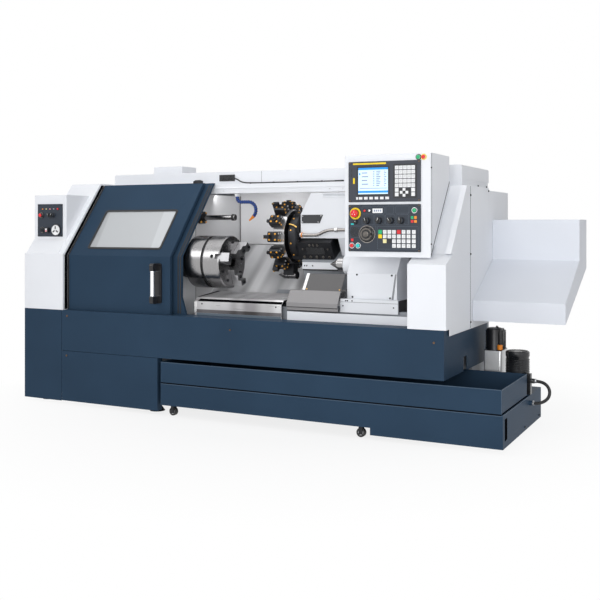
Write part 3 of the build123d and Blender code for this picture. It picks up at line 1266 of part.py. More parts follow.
# Hose from the pump's outlet round to the tank's end, laid by hand
HOSE_POINTS = [(3028.0, 600.0, 262.0), (3058.0, 600.0, 262.0), (3092.0, 594.0, 250.0), (3112.0, 586.0, 220.0),
               (3108.0, 577.0, 184.0), (3082.0, 569.0, 160.0), (3052.0, 564.0, 151.0), (3024.0, 564.0, 151.0)]
HOSE_BEND_SHARE = 0.45


def coolant_hose():
    points = [Vector(*p) for p in HOSE_POINTS]
    radii = []
    for before, here, after in zip(points, points[1:], points[2:]):
        turn = (here - before).get_angle(after - here)
        shorter = min((here - before).length, (after - here).length)
        radii.append(HOSE_BEND_SHARE * shorter / tan(radians(turn / 2)))
    print("hose bend radii", [round(r, 1) for r in radii])
    path = FilletPolyline(*points, radius=radii)
    start = Plane(path @ 0, z_dir=path % 0)
    tube = sweep(start * Circle(HOSE_R), path=path)
    print("hose volume share", round(tube.volume / (pi * HOSE_R ** 2 * path.length), 4))
    return tube


# Work area fittings
def tool_setter_base():
    half = SETTER_BASE / 2
    body = block(HEAD_FACE_X, HEAD_FACE_X + SETTER_BASE_L, SETTER_Y - half, SETTER_Y + half,
                 SETTER_Z - half, SETTER_Z + half)
    return chamfer(body.edges().filter_by(Axis.X), SETTER_R)


def tool_setter_arm():
    x0 = HEAD_FACE_X + SETTER_BASE_L
    arm = rod_x(x0, x0 + SETTER_L, SETTER_Y, SETTER_Z, SETTER_R)
    return arm + rod_x(x0 + SETTER_L, x0 + SETTER_L + SETTER_CAP_L, SETTER_Y, SETTER_Z, SETTER_CAP_R)


NOZZLE_STRETCHES = (NOZZLE_DROP, NOZZLE_BEND_R * pi / 2, NOZZLE_RUN,
                    NOZZLE_HOOK_R * radians(NOZZLE_HOOK_ANGLE))


def nozzle_line(s):
    """Place and lean at a length along the nozzle: a drop, a bend out, a level run and a hook down."""
    drop, bend, run, hook = NOZZLE_STRETCHES
    z = BEAM_Z0 - NOZZLE_COLLAR_H - min(s, drop)
    turn = min(max(s - drop, 0), bend) / NOZZLE_BEND_R
    x = NOZZLE_X + NOZZLE_BEND_R * (1 - cos(turn)) + min(max(s - drop - bend, 0), run)
    z = z - NOZZLE_BEND_R * sin(turn)
    fall = min(max(s - drop - bend - run, 0), hook) / NOZZLE_HOOK_R
    x = x + NOZZLE_HOOK_R * sin(fall)
    z = z - NOZZLE_HOOK_R * (1 - cos(fall))
    return x, z, 180 - (turn - fall) * 180 / pi


def nozzle_hose():
    """Jointed coolant line: a collar, a row of cupped segments and a tapered tip."""
    pieces = [rod_z(NOZZLE_X, NOZZLE_Y, BEAM_Z0 - NOZZLE_COLLAR_H, BEAM_TOP_Z - BEAM_T, NOZZLE_COLLAR_R)]
    pitch = sum(NOZZLE_STRETCHES) / NOZZLE_BEAD_COUNT
    for bead in range(NOZZLE_BEAD_COUNT):
        x, z, lean = nozzle_line(pitch * bead)
        pieces.append(Pos(x, NOZZLE_Y, z) * Rot(0, lean, 0) * Cone(NOZZLE_R, NOZZLE_R * 3 / 4, pitch * 5 / 4))
    x, z, lean = nozzle_line(pitch * NOZZLE_BEAD_COUNT)
    tip = Pos(0, 0, NOZZLE_TIP_L / 2 - pitch) * Cone(NOZZLE_R, NOZZLE_TIP_R, NOZZLE_TIP_L)
    pieces.append(Pos(x, NOZZLE_Y, z) * Rot(0, lean, 0) * tip)
    return joined(pieces)


PIECES = {
    "base_frame": base_frame, "leveling_feet": leveling_feet, "left_end_panel": left_end_panel,
    "front_panel": front_panel, "lower_front_panel": lower_front_panel,
    "headstock_cabinet": headstock_cabinet, "switch_plate": switch_plate, "headstock": headstock,
    "headstock_guard": headstock_guard, "spindle_motor": spindle_motor, "drive_belt": drive_belt,
    "chip_slide": chip_slide, "back_splash": back_splash, "front_way_cover": front_way_cover,
    "front_skirt": front_skirt, "top_beam": top_beam, "roof_cover": roof_cover, "motor_tower": motor_tower,
    "right_cover": right_cover, "right_side_panel": right_side_panel,
    "electrical_cabinet": electrical_cabinet, "extension_cover": extension_cover,
    "control_box": control_box, "cnc_unit": cnc_unit,
    "operator_plate": operator_plate, "operator_keys": operator_keys, "nozzle_hose": nozzle_hose,
    "tool_setter_base": tool_setter_base, "tool_setter_arm": tool_setter_arm, "chip_pan": chip_pan,
    "coolant_tank": coolant_tank, "caster_forks": caster_forks, "coolant_pump": coolant_pump,
    "hydraulic_unit": hydraulic_unit, "coolant_hose": coolant_hose,
    "door_panel": door_panel, "door_window": door_window, "door_handle": door_handle,
    "rear_door_panel": rear_door_panel, "spindle": spindle, "chuck_body": chuck_body,
    "motor_pulley": motor_pulley, "carriage_saddle": carriage_saddle, "carriage_cover": carriage_cover,
    "turret_body": turret_body, "turret_disc": turret_disc, "tool_holders": tool_holders,
    "tailstock_body": tailstock_body, "tailstock_guard": tailstock_guard, "quill": quill,
    "live_center": live_center, "estop_button": estop_button, "handwheel": handwheel,
}

os.makedirs("parts", exist_ok=True)
for name, make in PIECES.items():
    save(name, make())
for index in range(JAW_COUNT):
    save(f"chuck_jaw_{index + 1}", chuck_jaw(index))
for side, x in zip(("left", "right"), CASTER_X):
    save(f"caster_wheels_{side}", caster_wheels(x))
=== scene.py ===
"""Slant-bed turning centre: finishes and small fittings round the solids of the machine."""
from math import cos, pi, radians, sin

import bmesh
import bpy
from mathutils import Matrix, Vector


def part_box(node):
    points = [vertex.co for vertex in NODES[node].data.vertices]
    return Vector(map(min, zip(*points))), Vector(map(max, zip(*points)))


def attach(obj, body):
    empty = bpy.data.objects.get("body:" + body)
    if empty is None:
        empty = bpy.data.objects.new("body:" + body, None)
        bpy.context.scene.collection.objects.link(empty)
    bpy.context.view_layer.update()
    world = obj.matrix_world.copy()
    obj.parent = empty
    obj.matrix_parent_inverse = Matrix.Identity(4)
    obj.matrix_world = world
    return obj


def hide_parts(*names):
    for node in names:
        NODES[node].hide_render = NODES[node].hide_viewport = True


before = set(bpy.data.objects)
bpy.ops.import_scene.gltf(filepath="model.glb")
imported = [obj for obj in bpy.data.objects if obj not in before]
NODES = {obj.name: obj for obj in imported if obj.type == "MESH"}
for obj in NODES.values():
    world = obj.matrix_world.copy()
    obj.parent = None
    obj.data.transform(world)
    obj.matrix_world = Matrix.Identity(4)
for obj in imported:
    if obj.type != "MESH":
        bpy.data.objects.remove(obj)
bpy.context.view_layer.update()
MM = 0.001
X = Vector((1, 0, 0))
Y = Vector((0, 1, 0))
Z = Vector((0, 0, 1))
OUT = -Y
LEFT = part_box("left_end_panel")[0].x
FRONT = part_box("front_panel")[0].y
SMOOTH_ANGLE = radians(35)
BEVEL_ANGLE = radians(40)


def place(x, y, z):
    """Point given in millimetres from the left end, the front panel and the floor."""
    return Vector((LEFT + x * MM, FRONT + y * MM, z * MM))


def spot(node, across, back, up):
    """Point in a node's box, as shares of its width, depth and height."""
    low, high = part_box(node)
    return Vector(a + (b - a) * s for a, b, s in zip(low, high, (across, back, up)))


# Outlines in millimetres
def oblong(a0, b0, a1, b1):
    return ((a0, b0), (a1, b0), (a1, b1), (a0, b1))


def rounded(width, height, radius, steps=5):
    """Outline of a rectangle with round corners, about its centre."""
    points = []
    for i, (sx, sy) in enumerate(((1, 1), (-1, 1), (-1, -1), (1, -1))):
        centre = ((width / 2 - radius) * sx, (height / 2 - radius) * sy)
        for step in range(steps + 1):
            a = pi / 2 * (i + step / steps)
            points.append((centre[0] + radius * cos(a), centre[1] + radius * sin(a)))
    return points


def lay(outline, origin, across, up, lift):
    """Points of an outline on a face, lifted off it."""
    out = across.cross(up).normalized() * (lift * MM)
    return [origin + across * (a * MM) + up * (b * MM) + out for a, b in outline]


# Meshes
class Form:
    """Mesh of one piece, put together from shaped bodies: places in metres, sizes in millimetres."""

    def __init__(self):
        self.mesh = bmesh.new()

    def box(self, low, high):
        """Block between two corners in metres."""
        size = Vector(high) - Vector(low)
        matrix = Matrix.Translation((Vector(low) + Vector(high)) / 2) @ Matrix.Diagonal((*size, 1))
        bmesh.ops.create_cube(self.mesh, size=1, matrix=matrix)
        return self

    def skin(self, rows, closed=False):
        """Faces between rows of points, with both ends capped or the last row joined to the first."""
        rings = [[self.mesh.verts.new(p) for p in row] for row in rows]
        for low, high in zip(rings, rings[1:]):
            for i in range(len(low)):
                j = (i + 1) % len(low)
                self.mesh.faces.new((low[i], low[j], high[j], high[i]))
        if closed:
            bmesh.ops.remove_doubles(self.mesh, verts=rings[0] + rings[-1], dist=MM / 100)
        else:
            self.mesh.faces.new(rings[0][::-1])
            self.mesh.faces.new(rings[-1])
        return self

    def turned(self, start, axis, profile, sides=32, closed=False):
        """Turned body: the profile holds pairs of distance along the axis and radius."""
        turn = axis.to_track_quat("Z", "Y").to_matrix()
        angles = [2 * pi * i / sides for i in range(sides)]
        rows = []
        for along, radius in profile:
            points = [Vector((radius * MM * cos(a), radius * MM * sin(a), along * MM)) for a in angles]
            rows.append([start + turn @ p for p in points])
        return self.skin(rows, closed)

    def ring(self, start, axis, inner, outer, depth, sides=40):
        """Flat ring with a square section."""
        profile = ((0, inner), (0, outer), (depth, outer), (depth, inner), (0, inner))
        return self.turned(start, axis, profile, sides, True)

    def slab(self, outline, origin, across, up, depth):
        """Plate with an outline given in two directions, raised along their cross product."""
        return self.skin([lay(outline, origin, across, up, lift) for lift in (0, depth)])

    def frame(self, outer, inner, origin, across, up, depth):
        """Plate with an opening: both outlines have as many points."""
        rows = ((inner, 0), (outer, 0), (outer, depth), (inner, depth), (inner, 0))
        return self.skin([lay(row, origin, across, up, lift) for row, lift in rows], True)

    def plate(self, centre, wide, tall, depth, radius=0.6):
        return self.slab(rounded(wide, tall, radius), centre, X, Z, depth)

    def front_plate(self, points, y, depth):
        """Plate on a face that looks to the front, outlined across and up."""
        return self.slab(points, place(0, y, 0), X, Z, depth)

    def front(self, x0, z0, x1, z1, y, depth):
        return self.front_plate(oblong(x0, z0, x1, z1), y, depth)

    def end_plate(self, points, x, depth):
        """Plate on a face that looks to the right, outlined back and up."""
        return self.slab(points, place(x, 0, 0), Y, Z, depth)

    def end(self, y0, z0, y1, z1, x, depth):
        return self.end_plate(oblong(y0, z0, y1, z1), x, depth)

    def top(self, x0, y0, x1, y1, z, depth):
        return self.slab(oblong(x0, y0, x1, y1), place(0, 0, z), X, Y, depth)

    def back(self, x0, z0, x1, z1, y, depth):
        return self.slab(oblong(-x1, z0, -x0, z1), place(0, y, 0), -X, Z, depth)

    def panel(self, node, box, depth, radius=0.6, lift=0.0):
        """Plate on a control panel, placed by shares of a node."""
        at, wide, tall = field(node, box)
        return self.plate(at + OUT * lift * MM, wide, tall, depth, radius)

    def border(self, node, box, line, depth, radius):
        """Raised line round a field of a control panel."""
        at, wide, tall = field(node, box)
        inner = rounded(wide - 2 * line, tall - 2 * line, max(radius - line, 0.2))
        return self.frame(rounded(wide, tall, radius), inner, at, X, Z, depth)

    def screw(self, at, out, radius, sides=16):
        """Socket screw: a chamfered head with a recess."""
        tall = radius * 0.8
        profile = [(-tall / 2, radius), (tall * 0.75, radius), (tall, radius * 0.85), (tall, radius * 0.5),
                   (tall * 0.3, radius * 0.45)]
        return self.turned(at, out, profile, sides)

    def piece(self, name, slot, finish, bevel=0.0, body="root"):
        bmesh.ops.recalc_face_normals(self.mesh, faces=self.mesh.faces)
        data = bpy.data.meshes.new(name)
        self.mesh.to_mesh(data)
        self.mesh.free()
        data.shade_smooth()
        data.set_sharp_from_angle(angle=SMOOTH_ANGLE)
        data.materials.append(finish)
        thing = show(name, data)
        if bevel:
            round_edges(thing, bevel * MM)
        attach(thing, body)


def show(name, data):
    thing = bpy.data.objects.new(name, data)
    bpy.context.scene.collection.objects.link(thing)
    return thing


def round_edges(thing, width):
    bevel = thing.modifiers.new("edges", "BEVEL")
    bevel.width = width
    bevel.segments = 2
    bevel.limit_method = "ANGLE"
    bevel.angle_limit = BEVEL_ANGLE


def screws(name, finish, places, out, radius, body="root"):
    """Group of like screws with one direction."""
    form = Form()
    for at in places:
        form.screw(at, out, radius)
    form.piece(name, "dark_steel", finish, body=body)


def pipe(name, points, radius, finish, body="root"):
    """Smooth tube along given points."""
    line = bpy.data.curves.new(name, "CURVE")
    line.dimensions = "3D"
    line.bevel_depth = radius * MM
    line.bevel_resolution = 5
    line.resolution_u = 10
    line.use_fill_caps = True
    spline = line.splines.new("NURBS")
    spline.points.add(len(points) - 1)
    for knot, point in zip(spline.points, points):
        knot.co = (*point, 1)
    spline.order_u = 3
    spline.use_endpoint_u = True
    line.materials.append(finish)
    thing = show(name, line)
    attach(thing, body)
    return thing


def cord(name, route, radius, instead_of=None):
    """Short flexible line that is held at both ends."""
    points = [place(*p) for p in route]
    line = pipe(name, points, radius, RUBBER)
    if instead_of:
        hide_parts(instead_of)


# Finishes
class Finish:
    """One material, built node by node on top of the main shader."""

    def __init__(self, name, colour, rough, metal=0.0):
        self.material = bpy.data.materials.new(name)
        self.material.use_nodes = True
        self.nodes = self.material.node_tree.nodes
        self.links = self.material.node_tree.links
        self.shader = self.nodes["Principled BSDF"]
        self.colour = colour
        self.rough = rough
        self.put("Base Color", (*colour, 1))
        self.put("Roughness", rough)
        self.put("Metallic", metal)

    def put(self, socket, value):
        self.shader.inputs[socket].default_value = value

    def node(self, kind, **settings):
        made = self.nodes.new("ShaderNode" + kind)
        for key, value in settings.items():
            setattr(made, key, value)
        return made

    def join(self, source, target):
        self.links.new(source, target)

    def maths(self, operation, first, second=None):
        """Result of a sum on one or two outputs; a number is set on the second socket."""
        made = self.node("Math", operation=operation)
        self.join(first, made.inputs[0])
        if isinstance(second, float):
            made.inputs[1].default_value = second
        elif second:
            self.join(second, made.inputs[1])
        return made.outputs[0]

    def vectors(self, operation, first, second=(0, 0, 0)):
        """Results of a sum on a vector output and a fixed vector."""
        made = self.node("VectorMath", operation=operation)
        made.inputs[1].default_value = second
        self.join(first, made.inputs[0])
        return made.outputs

    def place_on_object(self, stretch=(1, 1, 1)):
        where = self.node("TexCoord")
        scale = self.node("Mapping")
        scale.inputs["Scale"].default_value = stretch
        self.join(where.outputs["Object"], scale.inputs["Vector"])
        return scale.outputs["Vector"]

    def split(self, vector):
        made = self.node("SeparateXYZ")
        self.join(vector, made.inputs[0])
        return made.outputs

    def turned_about(self, centre, fine):
        """Coordinates that run along x and with the distance from an axis along x."""
        where = self.node("TexCoord").outputs["Object"]
        apart = self.vectors("SUBTRACT", where, centre)["Vector"]
        flat = self.vectors("MULTIPLY", apart, (0, 1, 1))["Vector"]
        made = self.node("CombineXYZ")
        self.join(self.split(apart)["X"], made.inputs["X"])
        self.join(self.vectors("LENGTH", flat)["Value"], made.inputs["Y"])
        return self.vectors("MULTIPLY", made.outputs[0], (fine, fine, 1))["Vector"]

    def noise(self, vector, scale, detail=3.0):
        made = self.node("TexNoise")
        made.inputs["Scale"].default_value = scale
        made.inputs["Detail"].default_value = detail
        self.join(vector, made.inputs["Vector"])
        return made.outputs["Fac"]

    def spread(self, value, low, high, start=0.3, end=0.7):
        made = self.node("MapRange")
        sockets = ("From Min", "From Max", "To Min", "To Max")
        for socket, number in zip(sockets, (start, end, low, high)):
            made.inputs[socket].default_value = number
        self.join(value, made.inputs["Value"])
        return made.outputs["Result"]

    def tint(self, value, first, second):
        """Base colour that goes from one colour to another with a value."""
        mix = self.node("Mix", data_type="RGBA")
        mix.inputs["A"].default_value = (*first, 1)
        mix.inputs["B"].default_value = (*second, 1)
        self.join(value, mix.inputs["Factor"])
        self.join(mix.outputs["Result"], self.shader.inputs["Base Color"])

    def drift(self, value, low, high):
        """Base colour between a darker and a lighter tone of itself."""
        self.tint(self.spread(value, 0, 1), [c * low for c in self.colour], [c * high for c in self.colour])

    def vary_rough(self, value, spread):
        low = max(0.02, self.rough - spread)
        self.join(self.spread(value, low, self.rough + spread), self.shader.inputs["Roughness"])

    def bump(self, value, strength, depth):
        made = self.node("Bump")
        made.inputs["Strength"].default_value = strength
        made.inputs["Distance"].default_value = depth * MM
        self.join(value, made.inputs["Height"])
        self.join(made.outputs["Normal"], self.shader.inputs["Normal"])


def paint(name, colour, rough, grain=420.0, drift=0.08, lift=0.25, gloss=0.5):
    """Powder-coated sheet: fine orange peel, with a slow drift in its tone."""
    made = Finish(name, colour, rough)
    made.put("Specular IOR Level", gloss)
    where = made.place_on_object()
    peel = made.noise(where, grain, 2.0)
    made.drift(made.noise(where, 2.2, 2.0), 1 - drift, 1 + drift)
    made.vary_rough(peel, 0.06)
    made.bump(peel, lift, 0.4)
    return made.material


def brushed(name, colour, rough, stretch, drift=0.12, lift=0.12, metal=1.0):
    """Metal with long fine scratches along one direction."""
    made = Finish(name, colour, rough, metal)
    lines = made.noise(made.place_on_object(stretch), 60.0, 4.0)
    cloud = made.noise(made.place_on_object(), 3.0, 2.0)
    made.drift(lines, 1 - drift, 1 + drift / 2)
    made.vary_rough(made.maths("MULTIPLY", lines, made.spread(cloud, 0.8, 1.2)), 0.10)
    made.bump(lines, lift, 0.2)
    return made.material


def reflection_streaked(name, dark, light, rough, metal, across):
    """Brushed sheet with soft bands of painted reflection between a dark and a light tone, and fine scratches
    along x.
    """
    made = Finish(name, light, rough, metal)
    bands = made.noise(made.place_on_object(across), 1.0, 1.0)
    lines = made.noise(made.place_on_object((0.03, 1, 1)), 90.0, 3.0)
    made.tint(made.spread(bands, 0, 1, 0.36, 0.64), dark, light)
    made.vary_rough(lines, 0.08)
    made.bump(lines, 0.15, 0.3)
    return made.material


def turned_steel(name, colour, rough, centre):
    """Turned metal: fine rings round an axis along x."""
    made = Finish(name, colour, rough, 1.0)
    rings = made.noise(made.turned_about(centre, 260.0), 4.0, 3.0)
    made.drift(rings, 0.86, 1.05)
    made.vary_rough(made.noise(made.place_on_object(), 14.0, 3.0), 0.05)
    made.bump(rings, 0.10, 0.2)
    return made.material


def oxide(name, colour, rough, metal=0.55):
    """Blackened steel: cloudy sheen with fine pits."""
    made = Finish(name, colour, rough, metal)
    where = made.place_on_object()
    cloud = made.noise(where, 26.0, 4.0)
    made.drift(cloud, 0.7, 1.5)
    made.vary_rough(cloud, 0.10)
    made.bump(made.noise(where, 700.0, 2.0), 0.15, 0.3)
    return made.material


def moulded(name, colour, rough, drift=0.06):
    """Moulded plastic or rubber with a fine spark-eroded grain."""
    made = Finish(name, colour, rough)
    where = made.place_on_object()
    grain = made.noise(where, 900.0, 2.0)
    made.drift(made.noise(where, 30.0, 2.0), 1 - drift, 1 + drift)
    made.vary_rough(grain, 0.05)
    made.bump(grain, 0.12, 0.2)
    return made.material


def lit(name, colour, glow):
    """Display or lamp: the colour glows a little by itself."""
    made = Finish(name, colour, 0.25)
    made.drift(made.noise(made.place_on_object(), 60.0, 2.0), 0.94, 1)
    made.put("Emission Color", (*colour, 1))
    made.put("Emission Strength", glow)
    return made.material


SPINDLE_AXIS = spot("chuck_body", 0.5, 0.5, 0.5)
NAVY = paint("navy_coat", (0.0235, 0.0485, 0.085), 0.48, lift=0.18, gloss=0.08)
# Lighter navy for the painted highlights along the pan's and tank's edges.
NAVY_EDGE_HIGHLIGHT = paint("navy_edge_highlight", (0.055, 0.090, 0.135), 0.45, gloss=0.2)
WHITE = paint("white_coat", (0.80, 0.82, 0.86), 0.45, drift=0.02, gloss=0.4)
# Greyer white than the other covers, for the extension cover.
GREYER_WHITE = paint("greyer_white_coat", (0.70, 0.73, 0.79), 0.45, drift=0.02, gloss=0.4)
CASTING = paint("casting_coat", (0.30, 0.32, 0.35), 0.55, grain=160.0, lift=0.5)
GREY = brushed("tank_sheet", (0.55, 0.56, 0.58), 0.38, (1, 1, 0.05))
# Painted reflection: the sheets below go between a dark and a light tone in soft bands.
WAY_SHEET = reflection_streaked("way_sheet", (0.31, 0.30, 0.31), (0.71, 0.71, 0.72), 0.34, 0.5, (7, 1, 1))
SPLASH = reflection_streaked("splash_sheet", (0.62, 0.62, 0.63), (0.95, 0.95, 0.97), 0.44, 0.10, (2.4, 1, 1.8))
STAINLESS_SLIDE = reflection_streaked("slide_sheet", (0.34, 0.34, 0.35), (0.88, 0.88, 0.89), 0.36, 0.30, (9, 1.2, 1.2))
DARK_SHEET = reflection_streaked("dark_sheet", (0.06, 0.055, 0.055), (0.20, 0.19, 0.20), 0.36, 0.6, (7, 1, 1))
BLUE_GREY = paint("ledge_coat", (0.12, 0.16, 0.20), 0.45)
GROUND = turned_steel("ground_steel", (0.36, 0.355, 0.36), 0.25, SPINDLE_AXIS)
JAW_STEEL = brushed("jaw_steel", (0.36, 0.36, 0.37), 0.40, (1, 0.2, 0.2))
STEEL = brushed("milled_steel", (0.70, 0.70, 0.71), 0.28, (0.1, 1, 1))
CHROME = brushed("chrome_bar", (0.82, 0.82, 0.84), 0.07, (1, 1, 0.05), drift=0.03, lift=0.02)
BLACK = oxide("black_oxide", (0.016, 0.017, 0.020), 0.36)
BLACK_PAINT = oxide("black_paint", (0.012, 0.013, 0.015), 0.30, metal=0.0)
PLASTIC = moulded("panel_plastic", (0.008, 0.016, 0.030), 0.45)
DARK_PLASTIC = moulded("dark_plastic", (0.010, 0.011, 0.013), 0.35)
RUBBER = moulded("black_rubber", (0.012, 0.012, 0.013), 0.60)
KEY_WHITE = moulded("key_white", (0.82, 0.83, 0.84), 0.40)
KEY_GREY = moulded("key_grey", (0.40, 0.41, 0.43), 0.42)
RED = moulded("red_plastic", (0.72, 0.020, 0.025), 0.30)
YELLOW = moulded("yellow_plastic", (0.85, 0.62, 0.01), 0.35)
GREEN = moulded("green_plastic", (0.01, 0.42, 0.16), 0.32)
CYAN = moulded("cyan_plastic", (0.02, 0.58, 0.58), 0.32)
ORANGE = moulded("orange_plastic", (0.90, 0.28, 0.02), 0.35)
CREAM = moulded("cream_plastic", (0.85, 0.78, 0.40), 0.38)
BLUE = moulded("blue_plastic", (0.004, 0.050, 0.27), 0.34)
# Dark blue on the nozzle hose, seen between the beads: painted shade in the creases.
BLUE_CREASE_SHADE = moulded("blue_crease_shade", (0.003, 0.010, 0.06), 0.50)
BRASS = brushed("brass", (0.78, 0.50, 0.16), 0.26, (1, 1, 1))
BRASS_DARK = oxide("old_brass", (0.16, 0.09, 0.045), 0.40)
AMBER = brushed("amber_bolts", (0.88, 0.46, 0.08), 0.30, (1, 1, 1), metal=0.6)
BOLT = oxide("bolt_black", (0.13, 0.12, 0.11), 0.30, metal=0.8)
TUBE = brushed("pipe_steel", (0.30, 0.28, 0.27), 0.22, (0.05, 1, 1))
POINT_STEEL = brushed("point_steel", (0.34, 0.335, 0.34), 0.18, (0.1, 1, 1))
STEEL_BRIGHT = brushed("edge_steel", (0.84, 0.84, 0.85), 0.34, (1, 0.1, 0.1), metal=0.5)
PINK = moulded("pink_plastic", (0.80, 0.33, 0.36), 0.35)
SEAM_LINE = moulded("seam_line", (0.30, 0.31, 0.33), 0.60)
# Near-black painted shade for the gaps and slots between parts.
GAP_SHADE = paint("black_gap_shade", (0.004, 0.004, 0.005), 0.8, lift=0.0, gloss=0.0)
# Dark grey painted shade for the seams and gaps at the sides of the covers.
GREY_GAP_SHADE = paint("grey_gap_shade", (0.10, 0.105, 0.115), 0.8, lift=0.0, gloss=0.0)
SPLASH_LINE = moulded("splash_line", (0.13, 0.12, 0.12), 0.50)
SHADE = moulded("shaded_gap", (0.26, 0.27, 0.29), 0.60)
SHADE_DARK = moulded("dark_gap", (0.05, 0.05, 0.055), 0.60)
SHADE_PALE = moulded("pale_gap", (0.58, 0.60, 0.64), 0.60)
PLATE_GREY = moulded("bare_plate", (0.026, 0.028, 0.032), 0.45)
SCREEN = lit("screen", (0.62, 0.80, 0.95), 0.35)
SCREEN_BLUE = lit("screen_blue", (0.02, 0.28, 0.80), 0.35)
SCREEN_MARK = moulded("screen_mark", (0.22, 0.28, 0.42), 0.4)
LINE = moulded("panel_line", (0.10, 0.13, 0.17), 0.45)
GLASS_SLANT = 0.12
GLASS_TONES = ((0.0, 0.36), (0.115, 0.40), (0.13, 0.48), (0.80, 0.52), (0.81, 0.60), (1.0, 0.60))
GRIP_SHARE = 0.31


def window_glass():
    """Laminated pane: pale and glossy, with the inner frame showing as a band at each side."""
    made = Finish("window_glass", (0.62, 0.66, 0.70), 0.08)
    low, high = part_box("door_window")
    where = made.place_on_object()
    axes = made.split(where)
    slant = made.node("Math", operation="MULTIPLY_ADD")
    slant.inputs[1].default_value = GLASS_SLANT
    made.join(axes["Z"], slant.inputs[0])
    made.join(axes["X"], slant.inputs[2])
    start, end = (v.x + GLASS_SLANT * v.z for v in (low, high))
    across = made.spread(slant.outputs[0], 0, 1, start, end)
    ramp = made.node("ValToRGB")
    while len(ramp.color_ramp.elements) < len(GLASS_TONES):
        ramp.color_ramp.elements.new(0.5)
    for element, (at, tone) in zip(ramp.color_ramp.elements, GLASS_TONES):
        element.position = at
        element.color = (tone * 0.95, tone * 0.99, tone * 1.03, 1)
    made.join(across, ramp.inputs["Fac"])
    made.join(ramp.outputs["Color"], made.shader.inputs["Base Color"])
    made.bump(made.noise(where, 9.0, 1.0), 0.05, 0.5)
    made.put("Coat Weight", 0.4)
    made.put("Coat Roughness", 0.03)
    return made.material


def handle_finish():
    """Chrome bar between black moulded ends."""
    low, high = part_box("door_handle")
    made = Finish("handle_parts", (0.82, 0.82, 0.84), 0.08, 1.0)
    axes = made.split(made.place_on_object())
    apart = made.maths("SUBTRACT", axes["Z"], (low.z + high.z) / 2)
    reach = (high.z - low.z) * GRIP_SHARE
    ends = made.spread(made.maths("ABSOLUTE", apart), 0, 1, reach, reach + MM)
    base = made.spread(axes["Y"], 0, 1, high.y - 10 * MM, high.y - 9 * MM)
    dark = made.maths("MAXIMUM", ends, base)
    made.tint(dark, made.colour, (0.012, 0.012, 0.014))
    made.join(made.spread(dark, 1, 0, 0, 1), made.shader.inputs["Metallic"])
    made.join(made.spread(dark, 0.07, 0.32, 0, 1), made.shader.inputs["Roughness"])
    return made.material


def masked(name, lower, upper, rough, metals, test):
    """Two finishes on one solid, told apart by a test on the place on its surface."""
    made = Finish(name, lower, rough)
    where = made.place_on_object()
    side = test(made, where)
    grain = made.noise(where, 500.0, 2.0)
    made.tint(side, lower, upper)
    made.join(made.spread(side, metals[0], metals[1], 0, 1), made.shader.inputs["Metallic"])
    made.vary_rough(grain, 0.06)
    made.bump(grain, 0.10, 0.2)
    return made.material


def beyond(axis, level):
    """Test for the places past a level along one axis."""
    def test(made, where):
        return made.spread(made.split(where)[axis], 0, 1, level, level + MM / 10)
    return test


def outside_of(centre, radius):
    """Test for the places further than a radius from an axis along x."""
    def test(made, where):
        far = made.split(made.turned_about(centre, 1.0))["Y"]
        return made.spread(far, 0, 1, radius, radius + MM / 5)
    return test


# Solids with two finishes, and the levels where these change
UNIT_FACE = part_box("operator_plate")[1].y - 6.4 * MM
DISC_RIM = 159 * MM
MOTOR_FOOT_Z = 409 * MM
GUARD_STEP_Z = 737 * MM
WALL_FOLD_Y = place(0, 385, 0).y
UNIT = masked("unit_plastic", (0.80, 0.81, 0.82), (0.026, 0.031, 0.045), 0.42, (0, 0), beyond("Y", UNIT_FACE))
DISC = masked("disc_steel", (0.016, 0.017, 0.020), (0.62, 0.62, 0.63), 0.30, (0.5, 1),
              outside_of(spot("turret_disc", 0.5, 0.5, 0.5), DISC_RIM))
HYDRAULIC = masked("hydraulic_parts", (0.60, 0.61, 0.62), (0.014, 0.014, 0.016), 0.34, (0.7, 0.2),
                   beyond("Z", MOTOR_FOOT_Z))
GUARD = masked("guard_sheet", (0.25, 0.245, 0.25), (0.10, 0.098, 0.10), 0.45, (0.5, 0.5),
               beyond("Z", GUARD_STEP_Z))
HEAD_WALL = masked("head_wall", (0.88, 0.89, 0.91), (0.74, 0.74, 0.75), 0.44, (0, 0.1),
                   beyond("Y", WALL_FOLD_Y))
JAWS = ("chuck_jaw_1", "chuck_jaw_2", "chuck_jaw_3")
NODE_FINISH = {
    NAVY: ("left_end_panel", "front_panel", "lower_front_panel", "chip_pan", "coolant_tank", "door_panel",
           "rear_door_panel"),
    WHITE: ("headstock_cabinet", "roof_cover", "motor_tower", "right_cover", "right_side_panel", "top_beam",
            "electrical_cabinet", "control_box", "front_skirt", "carriage_cover", "tailstock_body"),
    GREYER_WHITE: ("extension_cover",),
    HEAD_WALL: ("headstock_guard",),
    CASTING: ("base_frame", "headstock", "carriage_saddle"),
    WAY_SHEET: ("front_way_cover",),
    GUARD: ("tailstock_guard",),
    SPLASH: ("back_splash",),
    STAINLESS_SLIDE: ("chip_slide",),
    GROUND: ("chuck_body", "quill", "live_center", "tool_setter_arm"),
    JAW_STEEL: JAWS,
    BLACK: ("leveling_feet", "turret_body", "tool_holders", "tool_setter_base", "caster_forks",
            "spindle", "motor_pulley", "spindle_motor"),
    BLACK_PAINT: ("coolant_pump", "handwheel"),
    DISC: ("turret_disc",),
    PLASTIC: ("switch_plate", "operator_plate"),
    UNIT: ("cnc_unit",),
    KEY_WHITE: ("operator_keys",),
    RUBBER: ("drive_belt", "caster_wheels_left", "caster_wheels_right", "coolant_hose"),
    HYDRAULIC: ("hydraulic_unit",),
    BLUE_CREASE_SHADE: ("nozzle_hose",),
    RED: ("estop_button",),
    window_glass(): ("door_window",),
    handle_finish(): ("door_handle",),
}
